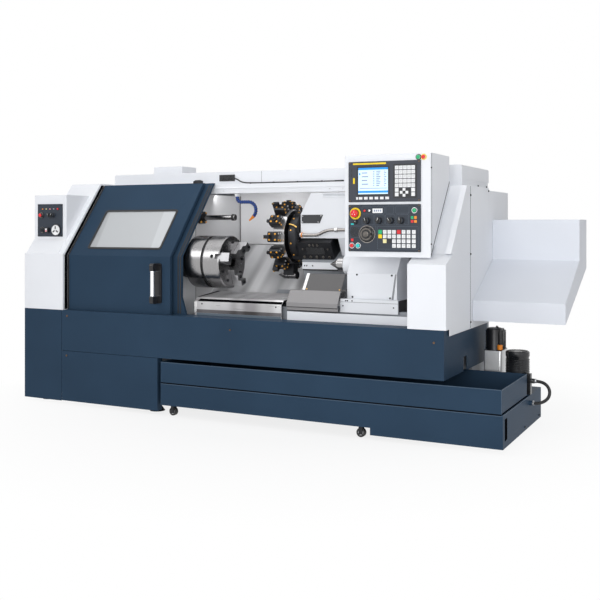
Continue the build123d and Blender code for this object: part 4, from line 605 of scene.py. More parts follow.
EDGE_WIDTHS = {
    1.2 * MM: ("left_end_panel", "front_panel", "lower_front_panel", "chip_pan", "headstock_cabinet",
               "right_cover", "right_side_panel", "electrical_cabinet", "door_panel", "rear_door_panel",
               "top_beam", "motor_tower", "front_way_cover", "tailstock_guard", "front_skirt",
               "cnc_unit", "operator_plate", "operator_keys", "switch_plate"),
    3.0 * MM: ("control_box", "extension_cover", "coolant_tank", "carriage_cover", "tailstock_body",
               "headstock", "turret_body", "turret_disc", "carriage_saddle"),
    1.5 * MM: ("tool_holders", *JAWS, "coolant_pump", "hydraulic_unit"),
}


def finish_nodes():
    for finish, names in NODE_FINISH.items():
        for name in names:
            NODES[name].data.materials.clear()
            NODES[name].data.materials.append(finish)
    for width, names in EDGE_WIDTHS.items():
        for name in names:
            weld = NODES[name].modifiers.new("weld", "WELD")
            weld.merge_threshold = MM / 20
            round_edges(NODES[name], width)


# Hose from the pump's outlet to the tank's end, cable clipped along the beam, hydraulic unit's hose
HOSE_ROUTE = ((3028, 600, 262), (3058, 600, 262), (3092, 594, 250), (3112, 586, 220),
              (3108, 577, 184), (3082, 569, 160), (3052, 564, 151), (3024, 564, 151))
HOSE_RADIUS = 8.5
CABLE_ROUTE = ((1231, 494, 1380), (1250, 492, 1376), (1280, 492, 1356), (1330, 493, 1349),
               (1620, 493, 1349), (1860, 493, 1349), (1960, 493, 1349))
CABLE_RADIUS = 3.6
LINE_ROUTE = ((2838, 618, 410), (2838, 618, 445), (2838, 618, 480), (2834, 622, 512),
              (2824, 638, 532), (2810, 658, 536))
LINE_RADIUS = 5.5

finish_nodes()
cord("coolant_hose_line", HOSE_ROUTE, HOSE_RADIUS, "coolant_hose")

# Places on the two panels of the control box and on the switch plate
PANEL_Y = 39.0
BOX_FACE_Y = 45.0
SWITCH_Y = 71.0


def on_front(node, across, down, y):
    """Point on a front face, from shares of a node's width and of its height from the top."""
    at = spot(node, across, 0, 1 - down)
    return Vector((at.x, FRONT + y * MM, at.z))


def on_operator(across, down):
    return on_front("operator_plate", across, down, PANEL_Y)


def on_unit(across, down):
    return on_front("cnc_unit", across, down, PANEL_Y)


def on_switches(across, down):
    return on_front("switch_plate", across, down, SWITCH_Y)


def field(node, box):
    """Centre, width and height of a field given by shares of a panel from the top left."""
    x0, z0, x1, z1 = box
    size = (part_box(node)[1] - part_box(node)[0]) / MM
    at = on_front(node, (x0 + x1) / 2, (z0 + z1) / 2, PANEL_Y)
    return at, size.x * (x1 - x0), size.z * (z1 - z0)


def spoke(angle):
    """Directions along and across a spoke on a front face; an angle of zero points up."""
    a = radians(angle)
    return X * sin(a) + Z * cos(a), X * cos(a) - Z * sin(a)


# Screen of the control unit: a generic page of fields and bars
SCREEN_Y = PANEL_Y + 1.6
SCREEN_BOX = (0.138, 0.150, 0.562, 0.810)
MARK_ROWS = 9
MARK_PITCH = 0.066
FIELD_PITCH = 0.14


def on_screen(across, down):
    x0, z0, x1, z1 = SCREEN_BOX
    return on_front("cnc_unit", x0 + (x1 - x0) * across, z0 + (z1 - z0) * down, SCREEN_Y)


def screen_bar(form, x0, z0, x1, z1, lift=0.7):
    wide = (on_screen(x1, 0) - on_screen(x0, 0)).x / MM
    tall = (on_screen(0, z0) - on_screen(0, z1)).z / MM
    form.plate(on_screen((x0 + x1) / 2, (z0 + z1) / 2), wide, tall, lift, 0.3)


def control_screen():
    page = Form()
    screen_bar(page, 0, 0, 1, 1, 0.4)
    page.piece("screen_page", "panel_plastic", SCREEN)
    bars = Form()
    for bar in ((0.0, 0.0, 1.0, 0.085), (0.0, 0.865, 1.0, 0.945), (0.03, 0.20, 0.07, 0.27)):
        screen_bar(bars, *bar)
    bars.piece("screen_bars", "panel_plastic", SCREEN_BLUE)
    marks = Form()
    screen_bar(marks, 0.05, 0.765, 0.95, 0.785)
    for row in range(MARK_ROWS):
        top = 0.13 + row * MARK_PITCH
        for x0, x1 in ((0.50, 0.54), (0.60, 0.60 + 0.14 - 0.02 * (row % 3)), (0.86, 0.90 + 0.03 * (row % 2))):
            screen_bar(marks, x0, top, x1, top + 0.03)
    for row in range(4):
        drop = row * FIELD_PITCH
        screen_bar(marks, 0.12, 0.18 + drop, 0.30 + 0.03 * (row % 2), 0.215 + drop)
    marks.piece("screen_marks", "panel_plastic", SCREEN_MARK)


# Keypad of the control unit
PAD_BOX = (0.651, 0.118, 0.929, 0.877)
PAD_COLUMNS = 5
PAD_ROWS = 7
PAD_PRINTED = 5


def control_unit():
    frames = Form()
    frames.border("cnc_unit", (0.118, 0.115, 0.578, 0.845), 8, 1.6, 3)
    frames.border("cnc_unit", (0.632, 0.085, 0.948, 0.91), 5, 2.2, 3)
    frames.panel("cnc_unit", (0.704, 0.675, 0.862, 0.875), 0.6)
    frames.piece("unit_frames", "panel_plastic", DARK_PLASTIC, bevel=0.5)
    strips = Form()
    strips.panel("cnc_unit", (0.065, 0.035, 0.53, 0.075), 0.9, 2)
    strips.panel("cnc_unit", (0.066, 0.40, 0.091, 0.545), 1.4, 2)
    strips.piece("unit_strips", "panel_plastic", YELLOW, bevel=0.3)
    slots = Form()
    for index in range(7):
        slots.panel("cnc_unit", (0.035, 0.17 + index * 0.03, 0.056, 0.185 + index * 0.03), 0.5)
    slots.piece("unit_slots", "panel_plastic", DARK_PLASTIC)
    prints = Form()
    x0, z0, x1, z1 = PAD_BOX
    for row in range(PAD_PRINTED):
        for column in range(PAD_COLUMNS):
            across = x0 + (x1 - x0) * (column + 0.5) / PAD_COLUMNS
            down = z0 + (z1 - z0) * (row + 0.5) / PAD_ROWS
            at = on_unit(across, down) + OUT * 3 * MM
            for line in range(2):
                mark = 9 - 3 * ((row + column + line) % 2)
                prints.plate(at + Z * (3 - 5 * line) * MM, mark, 1.7, 0.35, 0.4)
    prints.piece("key_prints", "key_plastic", KEY_GREY)


# Operator's plate
KNOB_SHARES = (0.265, 0.433, 0.597, 0.738)
KNOB_DOWN = 0.34
KNOB_TURNS = (20, -15, 35, 5)
WHEEL_AT = (0.265, 0.63)
STOP_AT = (0.10, 0.19)
LOCK_AT = (0.297, 0.13)
KEY_COLUMNS = (0.45, 0.514, 0.578, 0.641, 0.707, 0.772, 0.839, 0.91)
KEY_ROWS = (0.58, 0.675, 0.775, 0.873)
FIRST_PRINTED = (1, 1, 3, 3)
RED_KEY = (0, 4)
KEY_SIDE = 19.8
KEY_COLOURS = {GREEN: (0, 0), RED: RED_KEY, YELLOW: (1, 0), CREAM: (2, 1), DARK_PLASTIC: (2, 2)}
LAMPS = {GREEN: ((0.887, 0.28),), ORANGE: ((0.932, 0.28), (0.932, 0.36)),
         RED: ((0.887, 0.36), (0.055, 0.755))}
CELLS = ((0.192, 0.215, 0.36, 0.43), (0.372, 0.215, 0.508, 0.43), (0.522, 0.215, 0.655, 0.43),
         (0.668, 0.215, 0.835, 0.43), (0.528, 0.035, 0.638, 0.19), (0.662, 0.035, 0.845, 0.19),
         (0.41, 0.465, 0.968, 0.945), (0.03, 0.455, 0.39, 0.70), (0.192, 0.045, 0.508, 0.19))


def button(name, at, radius, tall, finish, ring=CHROME):
    """Round push button with a domed cap in a collar."""
    collar = Form().ring(at, OUT, radius * 0.98, radius * 1.32, tall * 0.45, 28)
    collar.piece(name + "_collar", "dark_steel", ring, bevel=0.4)
    shares = ((0, 0.96), (0.8, 0.96), (0.95, 0.86), (1, 0.66), (1.02, 0.3))
    cap = Form().turned(at, OUT, [(tall * along, radius * wide) for along, wide in shares], 28)
    cap.piece(name + "_cap", "red_plastic", finish)


def pointer_knob(name, at, turn, radius, tall):
    """Rotary switch: a skirt, a grip bar and a pale pointer line."""
    shares = ((0, 1.12), (0.16, 1.12), (0.24, 1), (0.86, 0.93), (1, 0.80))
    knob = Form().turned(at, OUT, [(tall * rise, radius * wide) for rise, wide in shares], 30)
    along, side = spoke(-turn)
    face = at + OUT * tall * MM * 0.98
    grip = radius * 0.42
    knob.slab(rounded(radius * 0.62, radius * 1.9, radius * 0.25), face, side, along, grip)
    knob.piece(name, "panel_plastic", DARK_PLASTIC, bevel=0.6)
    start = face + OUT * grip * MM + along * radius * MM * 0.45
    line = Form().slab(rounded(radius * 0.11, radius * 0.85, radius * 0.04), start, side, along, 0.4)
    line.piece(name + "_line", "key_plastic", KEY_WHITE)


def ticks(form, at, inner, outer, start, sweep, count, width):
    for index in range(count):
        along, side = spoke(start + sweep * index / (count - 1))
        reach = outer if index % 5 == 0 else (inner + outer) / 2
        centre = at + along * (inner + reach) * MM / 2
        form.slab(rounded(width, reach - inner, width / 4, 2), centre, side, along, 0.4)


def handwheel_and_stop():
    wheel = on_operator(*WHEEL_AT)
    Form().ring(wheel, OUT, 40, 45.5, 2.4, 64).piece("wheel_dial", "chrome", TUBE, bevel=0.6)
    divisions = Form()
    ticks(divisions, wheel + OUT * 2.4 * MM, 41, 45, 0, 356.4, 100, 0.5)
    divisions.piece("wheel_divisions", "dark_steel", DARK_PLASTIC)
    face = wheel + OUT * 15.6 * MM
    cap = Form().ring(face, OUT, 24, 31, 0.8, 48)
    cap.turned(face + OUT * 4.8 * MM, OUT, [(0, 15), (1.2, 15), (1.6, 12)], 36)
    cap.piece("wheel_rings", "chrome", BOLT, body="handwheel")
    stop = on_operator(*STOP_AT)
    Form().ring(stop, OUT, 21.5, 30.6, 3.6, 48).piece("stop_ring", "red_plastic", YELLOW, bevel=0.5)
    arrows = Form()
    crown = Vector((stop.x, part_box("estop_button")[0].y, stop.z))
    for index in range(3):
        along, side = spoke(120 * index)
        arrows.slab(((-3, 0), (3, 0), (0, 4.5)), crown + along * 6 * MM + side * MM, side, along, 0.3)
    arrows.piece("stop_arrows", "key_plastic", KEY_WHITE, body="estop")


def operator_keys():
    for finish, (row, column) in KEY_COLOURS.items():
        key = Form().plate(on_operator(KEY_COLUMNS[column], KEY_ROWS[row]), KEY_SIDE, KEY_SIDE, 3.5, 1.5)
        key.piece("keys_" + finish.name, "key_plastic", finish, bevel=0.8)
    prints = Form()
    for row, first in enumerate(FIRST_PRINTED):
        for column in range(first, len(KEY_COLUMNS)):
            if (row, column) != RED_KEY:
                at = on_operator(KEY_COLUMNS[column], KEY_ROWS[row]) + OUT * 3 * MM
                mark = 5 + 3 * ((row + column) % 3)
                prints.plate(at + Z * 2.6 * MM, mark, 1.8, 0.35, 0.4)
                prints.plate(at - Z * 2.6 * MM, 13 - mark, 1.8, 0.35, 0.4)
    prints.piece("operator_prints", "panel_plastic", KEY_GREY)


def operator_panel():
    lines = Form()
    for cell in CELLS:
        lines.border("operator_plate", cell, 0.8, 0.4, 4)
    for share in KNOB_SHARES:
        ticks(lines, on_operator(share, KNOB_DOWN), 19.5, 24, -130, 260, 11, 0.9)
    lines.piece("panel_lines", "panel_plastic", LINE)
    for index, share in enumerate(KNOB_SHARES):
        pointer_knob(f"selector_{index + 1}", on_operator(share, KNOB_DOWN), KNOB_TURNS[index], 16.5, 23)
    pointer_knob("lamp_switch", on_operator(0.10, 0.365), -60, 11.6, 11)
    mark = Form().panel("operator_plate", (0.035, 0.40, 0.075, 0.43), 0.5)
    mark.piece("lamp_mark", "panel_plastic", CYAN)
    handwheel_and_stop()
    display = Form().panel("operator_plate", (0.342, 0.085, 0.482, 0.18), 1.2, 1.5)
    display.piece("meter_face", "key_plastic", KEY_WHITE, bevel=0.3)
    figures = Form()
    for index in range(4):
        box = (0.362 + index * 0.028, 0.112, 0.377 + index * 0.028, 0.15)
        figures.panel("operator_plate", box, 0.3, 0.3, lift=1.2)
    figures.piece("meter_marks", "panel_plastic", SCREEN_MARK)
    button("alarm_lamp", on_operator(0.232, 0.13), 6, 5, RED, DARK_PLASTIC)
    button("key_lock", on_operator(*LOCK_AT), 6, 4, CHROME, DARK_PLASTIC)
    keyway = Form().plate(on_operator(*LOCK_AT) + OUT * 4.1 * MM, 1.4, 7, 0.3, 0.3)
    keyway.piece("key_slot", "panel_plastic", DARK_PLASTIC)
    button("stop_cycle", on_operator(0.053, 0.875), 11.4, 10, RED)
    button("start_cycle", on_operator(0.141, 0.875), 11.4, 10, CYAN)
    button("door_key", on_operator(0.92, 0.13), 11.4, 10, GREEN)
    for finish, places in LAMPS.items():
        lamps = Form()
        for across, down in places:
            lamps.plate(on_operator(across, down), 14, 14, 2, 2.5)
        lamps.piece("lamps_" + finish.name, "key_plastic", finish, bevel=0.6)
    centre = on_operator(0.092, 0.585)
    speaker = Form().ring(centre, OUT, 22, 25, 1.2, 48)
    for step in range(4):
        speaker.ring(centre, OUT, 3 + 5 * step, 5.4 + 5 * step, 0.8, 40)
    speaker.piece("speaker_rings", "panel_plastic", DARK_PLASTIC)
    operator_keys()
    corners = [on_operator(a, d) for a in (0.022, 0.978) for d in (0.03, 0.97)]
    corners += [on_unit(a, d) for a in (0.022, 0.978) for d in (0.035, 0.965)]
    screws("panel_screws", BRASS_DARK, corners, OUT, 3.4)


def box_fittings():
    """Lamps on the control box's front; at its side, screws, and painted shade along its seam and its slanted
    lower edge.
    """
    low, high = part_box("control_box")
    lamp_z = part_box("operator_keys")[1].z - 11 * MM
    lamps = (("run_lamp", 0.865, GREEN, DARK_PLASTIC), ("fault_lamp", 0.922, RED, YELLOW))
    for name, share, finish, ring in lamps:
        at = Vector((low.x + (high.x - low.x) * share, FRONT + BOX_FACE_Y * MM, lamp_z))
        button(name, at, 11.3, 11, finish, ring)
    # Grey strips at the box's side: painted shade in its seam and a painted shadow along its slanted lower
    # edge.
    seam = Form().box((high.x - 0.4 * MM, place(0, 56, 0).y, low.z + 30 * MM),
                      (high.x + 0.3 * MM, place(0, 60, 0).y, high.z - 4 * MM))
    seam.end_plate(((46, 931), (349, 1314), (349, 1326), (46, 943)), 2638, 0.4)
    seam.piece("box_seam_shade", "white_paint", GREY_GAP_SHADE)
    places = [Vector((high.x, place(0, 51, 0).y, z * MM)) for z in (1379, 998)]
    screws("box_screws", BLACK, places, X, 4.5)


control_screen()
control_unit()
operator_panel()
box_fittings()

# Switch plate at the left end
SWITCH_R = 13.4
SWITCH_TALL = 17
LEGENDS = ((ORANGE, 0.20), (CREAM, 0.35), (PINK, 0.50), (KEY_GREY, 0.65))


def switch_panel():
    button("main_stop", on_switches(0.16, 0.34), SWITCH_R, SWITCH_TALL, RED, BOLT)
    for finish, across in LEGENDS:
        legend = Form().plate(on_switches(across, 0.15), 11, 6, 0.8, 1.5)
        legend.piece("legend_" + finish.name, "key_plastic", finish, bevel=0.3)
    for index, across in enumerate((0.50, 0.62)):
        at = on_switches(across, 0.34)
        pointer_knob(f"main_switch_{index + 1}", at, 25 - 50 * index, SWITCH_R, SWITCH_TALL)
    button("power_lamp", on_switches(0.82, 0.15), 6, 5, RED, DARK_PLASTIC)
    key = on_switches(0.21, 0.80)
    button("main_key", key, SWITCH_R, SWITCH_TALL, BLACK, BOLT)
    slot = Form().plate(key + OUT * 17.2 * MM, 2.4, 13, 0.4, 0.6)
    slot.piece("main_key_slot", "panel_plastic", DARK_PLASTIC)
    at = on_switches(0.41, 0.80)
    Form().plate(at, 30, 30, 16.4, 3).piece("rocker_frame", "panel_plastic", DARK_PLASTIC, bevel=1)
    for index, finish in enumerate((KEY_WHITE, PINK)):
        half = Form().plate(at + Z * (5 - 10 * index) * MM, 13, 9.6, 18.5 - index, 1.5)
        half.piece(f"rocker_half_{index + 1}", "key_plastic", finish, bevel=0.8)
    socket = on_switches(0.76, 0.80)
    disc = Form().turned(socket, OUT, [(0, 32), (8, 32), (11, 30), (11.2, 24), (10.6, 23)], 48)
    disc.piece("socket_lid", "key_plastic", KEY_WHITE)
    spokes = Form().ring(socket, OUT, 31.6, 36, 6, 48)
    for index in range(3):
        along, side = spoke(120 * index)
        spokes.slab(rounded(8, 19, 2), socket + OUT * 10.6 * MM + along * 15 * MM, side, along, 0.8)
    spokes.piece("socket_spokes", "panel_plastic", DARK_PLASTIC)
    places = [on_switches(a, d) for a in (0.04, 0.96) for d in (0.04, 0.96)]
    screws("switch_screws", BLACK, places, OUT, 4)


switch_panel()

# Doors: face below the fold, height of the fold and lean above it
DOOR_Y = 40
FOLD_Z = 910
DOOR_LEAN = 0.79
SLOPE = Vector((0, DOOR_LEAN, 1)).normalized()
PANE_WIDE = 527
PANE_TALL = 283
PANE_XZ = (710.5, 1068)
REAR_INSET = 40
ROLLER_XS = (1018, 1052)
ROLLER_Y = 392


def on_slope(x, z, inset=0.0):
    """Point on the sloping face of a door, from its place across, its height and its inset."""
    return place(x, DOOR_Y + inset + (z - FOLD_Z) * DOOR_LEAN, z)


def door_edge(form, x0, x1, inset, top):
    """Strip along the upright and the sloping stretch of a door's edge."""
    form.front(x0, 582, x1, FOLD_Z, DOOR_Y + inset, 2)
    half = (x1 - x0) / 2
    length = (top - FOLD_Z) * Vector((DOOR_LEAN, 1)).length
    form.slab(oblong(-half, 0, half, length), on_slope((x0 + x1) / 2, FOLD_Z, inset), X, SLOPE, 2)


def door_fittings():
    outer = rounded(PANE_WIDE + 20, PANE_TALL + 20, 18)
    inner = rounded(PANE_WIDE - 6, PANE_TALL - 6, 10)
    gasket = Form().frame(outer, inner, on_slope(*PANE_XZ), X, SLOPE, 3)
    gasket.piece("window_gasket", "black_rubber", RUBBER, bevel=0.8, body="front_door")
    seal = Form()
    door_edge(seal, 312.5, 324, 0, 1346)
    seal.piece("door_seal", "black_rubber", RUBBER, bevel=0.6, body="front_door")
    # Black strip on the cabinet's edge beside the door: painted shadow in the gap.
    shadow = Form().end(16, 580, 40, 910, 308, 0.8)
    shadow.end_plate(((16, 910), (40, 910), (387, 1350), (363, 1350)), 308, 0.8)
    shadow.piece("cabinet_gap_shadow", "black_rubber", GAP_SHADE)
    # Black strips along the rear door's edge: painted shade of the gaps beside the front door.
    lead = Form()
    door_edge(lead, 1098, 1106, REAR_INSET, 1336)
    door_edge(lead, 1114, 1121.5, REAR_INSET, 1336)
    lead.piece("rear_door_gap_shade", "black_rubber", RUBBER, bevel=0.6, body="rear_door")
    low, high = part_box("door_handle")
    x = (low.x + high.x) / 2
    bolts = [Vector((x + side * 22 * MM, high.y - 8 * MM, z)) for side in (-1, 1)
             for z in (low.z + 11 * MM, high.z - 11 * MM)]
    screws("handle_screws", BLACK, bolts, OUT, 4.2, body="front_door")
    collars = Form()
    for z in (low.z + 46 * MM, high.z - 50 * MM):
        collars.ring(Vector((x, low.y + 13 * MM, z)), Z, 12.9, 15, 4, 32)
    collars.piece("handle_collars", "chrome", CHROME, bevel=0.4, body="front_door")
    guide = Form()
    for x in ROLLER_XS:
        guide.turned(place(x, ROLLER_Y, 1358), Y, [(0, 7), (2, 9), (14, 9), (16, 7)], 24)
    points = ((1000, 1346), (1068, 1346), (1068, 1362), (1050, 1369), (1018, 1369), (1000, 1362))
    guide.front_plate(points, ROLLER_Y, 6)
    guide.piece("door_rollers", "dark_steel", BLACK, bevel=1, body="front_door")


# Panels outside: right side, tank end and back
SIDE_X = 2730
TANK_X = 3010
PAN_X = 3004
BACK_Y = 1050
BACK_SEAMS = (700, 1092, 1484, 1876, 2268)
PANEL_BOLTS = ((343, 541), (1500, 516), (2669, 514), (338.5, 300))
SIDE_BOLTS = ((423, 1252), (423, 940), (423, 579), (783, 1286), (783, 580))
TANK_BOLTS = ((455, 45), (793, 44))


def outer_screws():
    screws("panel_bolts", BRASS_DARK, [place(x, 0, z) for x, z in PANEL_BOLTS], OUT, 5.5)
    side = [place(SIDE_X, y, z) for y, z in SIDE_BOLTS]
    side += [place(TANK_X, y, z) for y, z in TANK_BOLTS]
    side += [place(2656, y, 1318) for y in (830, 1010)]
    screws("side_bolts", BLACK, side, X, 5.5)
    # Grey strip in the seam between the right covers: painted shade.
    Form().end(421, 548, 425, 1300, SIDE_X, 0.6).piece("side_seam_shade", "white_paint", GREY_GAP_SHADE)
    filler = Form().end_plate(((793, 1290), (1046, 1290), (1046, 1336), (1038, 1344), (793, 1344)), 2652, 4)
    filler.piece("roof_filler", "white_paint", WHITE, bevel=1)


def back_fittings():
    """Plain seams, screws and a vent on the covers at the back."""
    seams = Form()
    for x in BACK_SEAMS:
        seams.back(x - 1.5, 570, x + 1.5, 1408, BACK_Y, 0.6)
    seams.back(310, 960, 2486, 963, BACK_Y, 0.6)
    seams.piece("back_seams", "grey_paint", SEAM_LINE)
    spots = [place(x + side * 22, BACK_Y, z) for x in BACK_SEAMS for side in (-1, 1) for z in (600, 1380)]
    screws("back_bolts", BLACK, spots, Y, 5.5)
    vent = Form()
    for z in range(680, 900, 22):
        vent.back(2530, z, 2686, z + 9, 1232, 2.4)
    vent.piece("cabinet_vent", "white_paint", SHADE, bevel=0.6)


door_fittings()
outer_screws()
back_fittings()

# Roof, beam and splash
ROOF_Y = 500
SPLASH_Y = 915
CLIP_XS = (1340, 1500, 1660, 1820, 1950)
BEAM_SCREWS = (1895, 1975, 1180, 700)


def roof_fittings():
    box = Form().front(1123, 1364, 1231, 1403, ROOF_Y, 9)
    for x in range(1132, 1226, 12):
        box.front(x, 1368, x + 6, 1399, ROOF_Y - 9, 2)
    box.piece("roof_terminal", "dark_steel", BLACK_PAINT, bevel=1.2)
    cord("roof_cable", CABLE_ROUTE, CABLE_RADIUS)
    clips = Form()
    for x in CLIP_XS:
        clips.ring(place(x, 493, 1349), X, 3.5, 5.2, 9, 20)
    clips.front(1905, 1344.5, 1962, 1354, ROOF_Y, 3)
    clips.piece("cable_clips", "dark_steel", BLACK, bevel=0.4)
    points = ((944, 1424), (969, 1424), (969, 1442), (961, 1442), (961, 1432), (944, 1432))
    Form().front_plate(points, 806, 26).piece("tower_hook", "dark_steel", BLACK_PAINT, bevel=1.5)
    seams = Form().front(1416, 1346, 1418.4, 1420, ROOF_Y, 0.5).top(1416, 502, 1418.4, 1040, 1422, 0.5)
    seams.piece("roof_seam", "white_paint", SEAM_LINE)
    screws("beam_screws", STEEL, [place(x, 452, 1304) for x in BEAM_SCREWS], OUT, 4)
    splash = Form().front(1021, 968, 1026, 1284, SPLASH_Y, 0.8).front(1026, 967, 2480, 970, SPLASH_Y, 2.5)
    splash.end(383, 640, 387, 1284, 1020, 0.6)
    splash.piece("splash_seams", "dark_steel", SPLASH_LINE)


roof_fittings()

# Chuck and spindle nose
CHUCK_FACE_X = 1338
AXIS_YZ = (288, 877)
JAW_ANGLES = (76, 196, 316)
TEETH = 9


def about_axis(x, radius, angle, centre=AXIS_YZ):
    """Point round an axis along x: an angle of zero points up, and it grows towards the front."""
    a = radians(angle)
    return place(x, centre[0] - radius * sin(a), centre[1] + radius * cos(a))


def outward(angle):
    a = radians(angle)
    return Vector((0, -sin(a), cos(a)))


def sideways(angle):
    a = radians(angle)
    return Vector((0, -cos(a), -sin(a)))


def jaw_fittings(body, angle):
    fixings = Form()
    for step, radius in ((2, 90), (3, 122)):
        fixings.screw(about_axis(CHUCK_FACE_X + 0.5 + 20 * step, radius, angle), X, 9.5, 20)
    fixings.piece(body + "_bolts", "dark_steel", BLACK, body=body)
    teeth = Form()
    for side in (-1, 1):
        out = sideways(angle) * side
        up = X.cross(out)
        for tooth in range(TEETH):
            at = about_axis(CHUCK_FACE_X + 4, 52 + 9.5 * tooth, angle) + out * 26 * MM
            teeth.slab(rounded(4, 2.2, 0.5, 2), at, up.cross(out), up, 0.8)
    teeth.piece(body + "_teeth", "dark_steel", STEEL, body=body)


def chuck_fittings():
    bolts = [about_axis(CHUCK_FACE_X, 116, angle + 60 + side) for angle in JAW_ANGLES for side in (-20, 20)]
    screws("chuck_bolts", BLACK, bolts, X, 8, body="spindle")
    # Black ring at the bottom of the chuck's groove: painted shade in the groove.
    groove = Form().ring(about_axis(1216.6, 0, 0), X, 141, 145.5, 16.8, 96)
    groove.piece("chuck_groove_shade", "dark_steel", BLACK_PAINT, body="spindle")
    sockets = Form()
    for angle in JAW_ANGLES:
        sockets.turned(about_axis(CHUCK_FACE_X - 46, 143, angle), outward(angle),
                       [(0, 12), (11.4, 12), (11, 8.4), (2, 8)], 8)
    sockets.piece("key_sockets", "dark_steel", BLACK_PAINT, body="spindle")
    collar = Form()
    for step in range(3):
        collar.ring(about_axis(1050, 0, 0) + X * step * 20 * MM, X, 96.5, 99, 9, 72)
    collar.piece("nose_rings", "dark_steel", BLACK_PAINT, bevel=0.8, body="spindle")
    for index, angle in enumerate(JAW_ANGLES):
        jaw_fittings(f"jaw_{index + 1}", angle)


chuck_fittings()

# Turret: bolts, inserts and round tool sockets
TURRET_YZ = (545, 1025)
HOLDER_X = 1547
STATIONS = 12
STATION_STEP = 30
SOCKET_PROFILE = ((0, 15), (9, 15), (11, 13), (11, 9), (5, 8))
POINT_PROFILE = ((0, 1.6), (1.5, 2.8), (42.6, 23.5), (70, 23.5), (71, 22.6), (74, 22.6), (75, 23.5),
                 (122, 23.5), (124, 21))
HOUSING_LEAN = radians(30)
HOUSING_HALF = 140


def on_turret(x, radius, angle):
    return about_axis(x, radius, angle, TURRET_YZ)


def turret_fittings():
    brass = Form()
    dark = Form()
    gold = Form()
    sockets = Form()
    for station in range(1, STATIONS):
        angle = 180 + STATION_STEP * station
        out = outward(angle)
        across = sideways(angle)
        for x in (HOLDER_X + 14, HOLDER_X + 52):
            for side in (-1, 1):
                brass.screw(on_turret(x, 207.5, angle) + across * side * 17 * MM, out, 5.6)
        for radius in (176, 197):
            at = on_turret(HOLDER_X + 66, radius, angle)
            brass.screw(at + across * 20 * MM, X, 5)
            dark.screw(at - across * 20 * MM, X, 5)
        if station % 2:
            tip = on_turret(HOLDER_X - 8, 229.5, angle) + across * 11 * MM
            gold.slab(((-7, -5), (7, -5), (5, 6), (-9, 6)), tip, X, -out, 2.2)
        else:
            sockets.turned(on_turret(HOLDER_X + 33, 207, angle), out, SOCKET_PROFILE, 28)
            sockets.ring(on_turret(HOLDER_X - 1, 184, angle), -X, 11.2, 20, 5, 28)
    brass.piece("holder_bolts", "dark_steel", AMBER, body="turret")
    dark.piece("holder_screws", "dark_steel", STEEL, body="turret")
    gold.piece("tool_inserts", "ground_steel", BRASS, body="turret")
    sockets.piece("tool_sockets", "dark_steel", BLACK, bevel=0.6, body="turret")
    rim = Form()
    for station in range(STATIONS):
        angle = 15 + STATION_STEP * station
        rim.screw(on_turret(1668, 148, angle), outward(angle), 4.6)
    rim.piece("collar_screws", "dark_steel", AMBER, body="cross_slide")
    hole = Form().turned(on_turret(1709.5, 118, 104), X, [(0, 13), (1.6, 13), (2.4, 11), (1.0, 8)], 28)
    hole.piece("collar_plug", "ground_steel", STEEL, body="cross_slide")


def pointed_tool():
    """Ground sleeve on the pointed tool in the lowest station."""
    sleeve = Form().turned(on_turret(1511.4, 230, 180), X, POINT_PROFILE, 40)
    sleeve.piece("point_sleeve", "ground_steel", POINT_STEEL, body="turret")


def body_fittings():
    """Bolts on the front face of the turret housing, which leans with the cross slide."""
    out = Vector((0, -cos(HOUSING_LEAN), -sin(HOUSING_LEAN)))
    up = Vector((0, -sin(HOUSING_LEAN), cos(HOUSING_LEAN)))
    y, z = TURRET_YZ
    centre = place(0, y - HOUSING_HALF * cos(HOUSING_LEAN), z - HOUSING_HALF * sin(HOUSING_LEAN))
    rows = (((1785, 1810, 1835), 27, 7.5), ((1735, 1775, 1815, 1855, 1895), -52, 8.5), ((1735, 1895), 0, 6))
    bolts = Form()
    for xs, rise, radius in rows:
        for x in xs:
            bolts.screw(centre + X * x * MM + up * rise * MM, out, radius)
    bolts.piece("housing_bolts", "dark_steel", BOLT, body="cross_slide")
    cover = Form().slab(rounded(118, 44, 3), centre + X * 1815 * MM - up * 12 * MM, X, up, 3)
    cover.piece("housing_plate", "dark_steel", BLACK_PAINT, bevel=0.8, body="cross_slide")
    route = ((1658, 158, 62), (1680, 159, 64), (1692, 157, 66), (1704, 150, 68))
    pipe("turret_tube", [on_turret(*p) for p in route], 4.2, BRASS, body="cross_slide")


turret_fittings()
pointed_tool()
body_fittings()

# Carriage: cup, bare plate, coolant pipe and wiper
COVER_Y = 436
PIPE_Y = 424
PIPE_ROUTE = ((1729, PIPE_Y, 1036), (1790, PIPE_Y, 1035), (1829, PIPE_Y, 1036), (1862, PIPE_Y, 1052),
              (1900, PIPE_Y, 1065), (1950, PIPE_Y, 1066), (2040, PIPE_Y, 1066), (2072, 426, 1066),
              (2084, 436, 1066), (2086, 448, 1066))
COVER_SCREWS = ((1730, 1145), (1848, 1147), (1730, 1111), (1830, 1111))
WIPER_SCREWS = (1738, 1752, 1790, 1985, 2003)


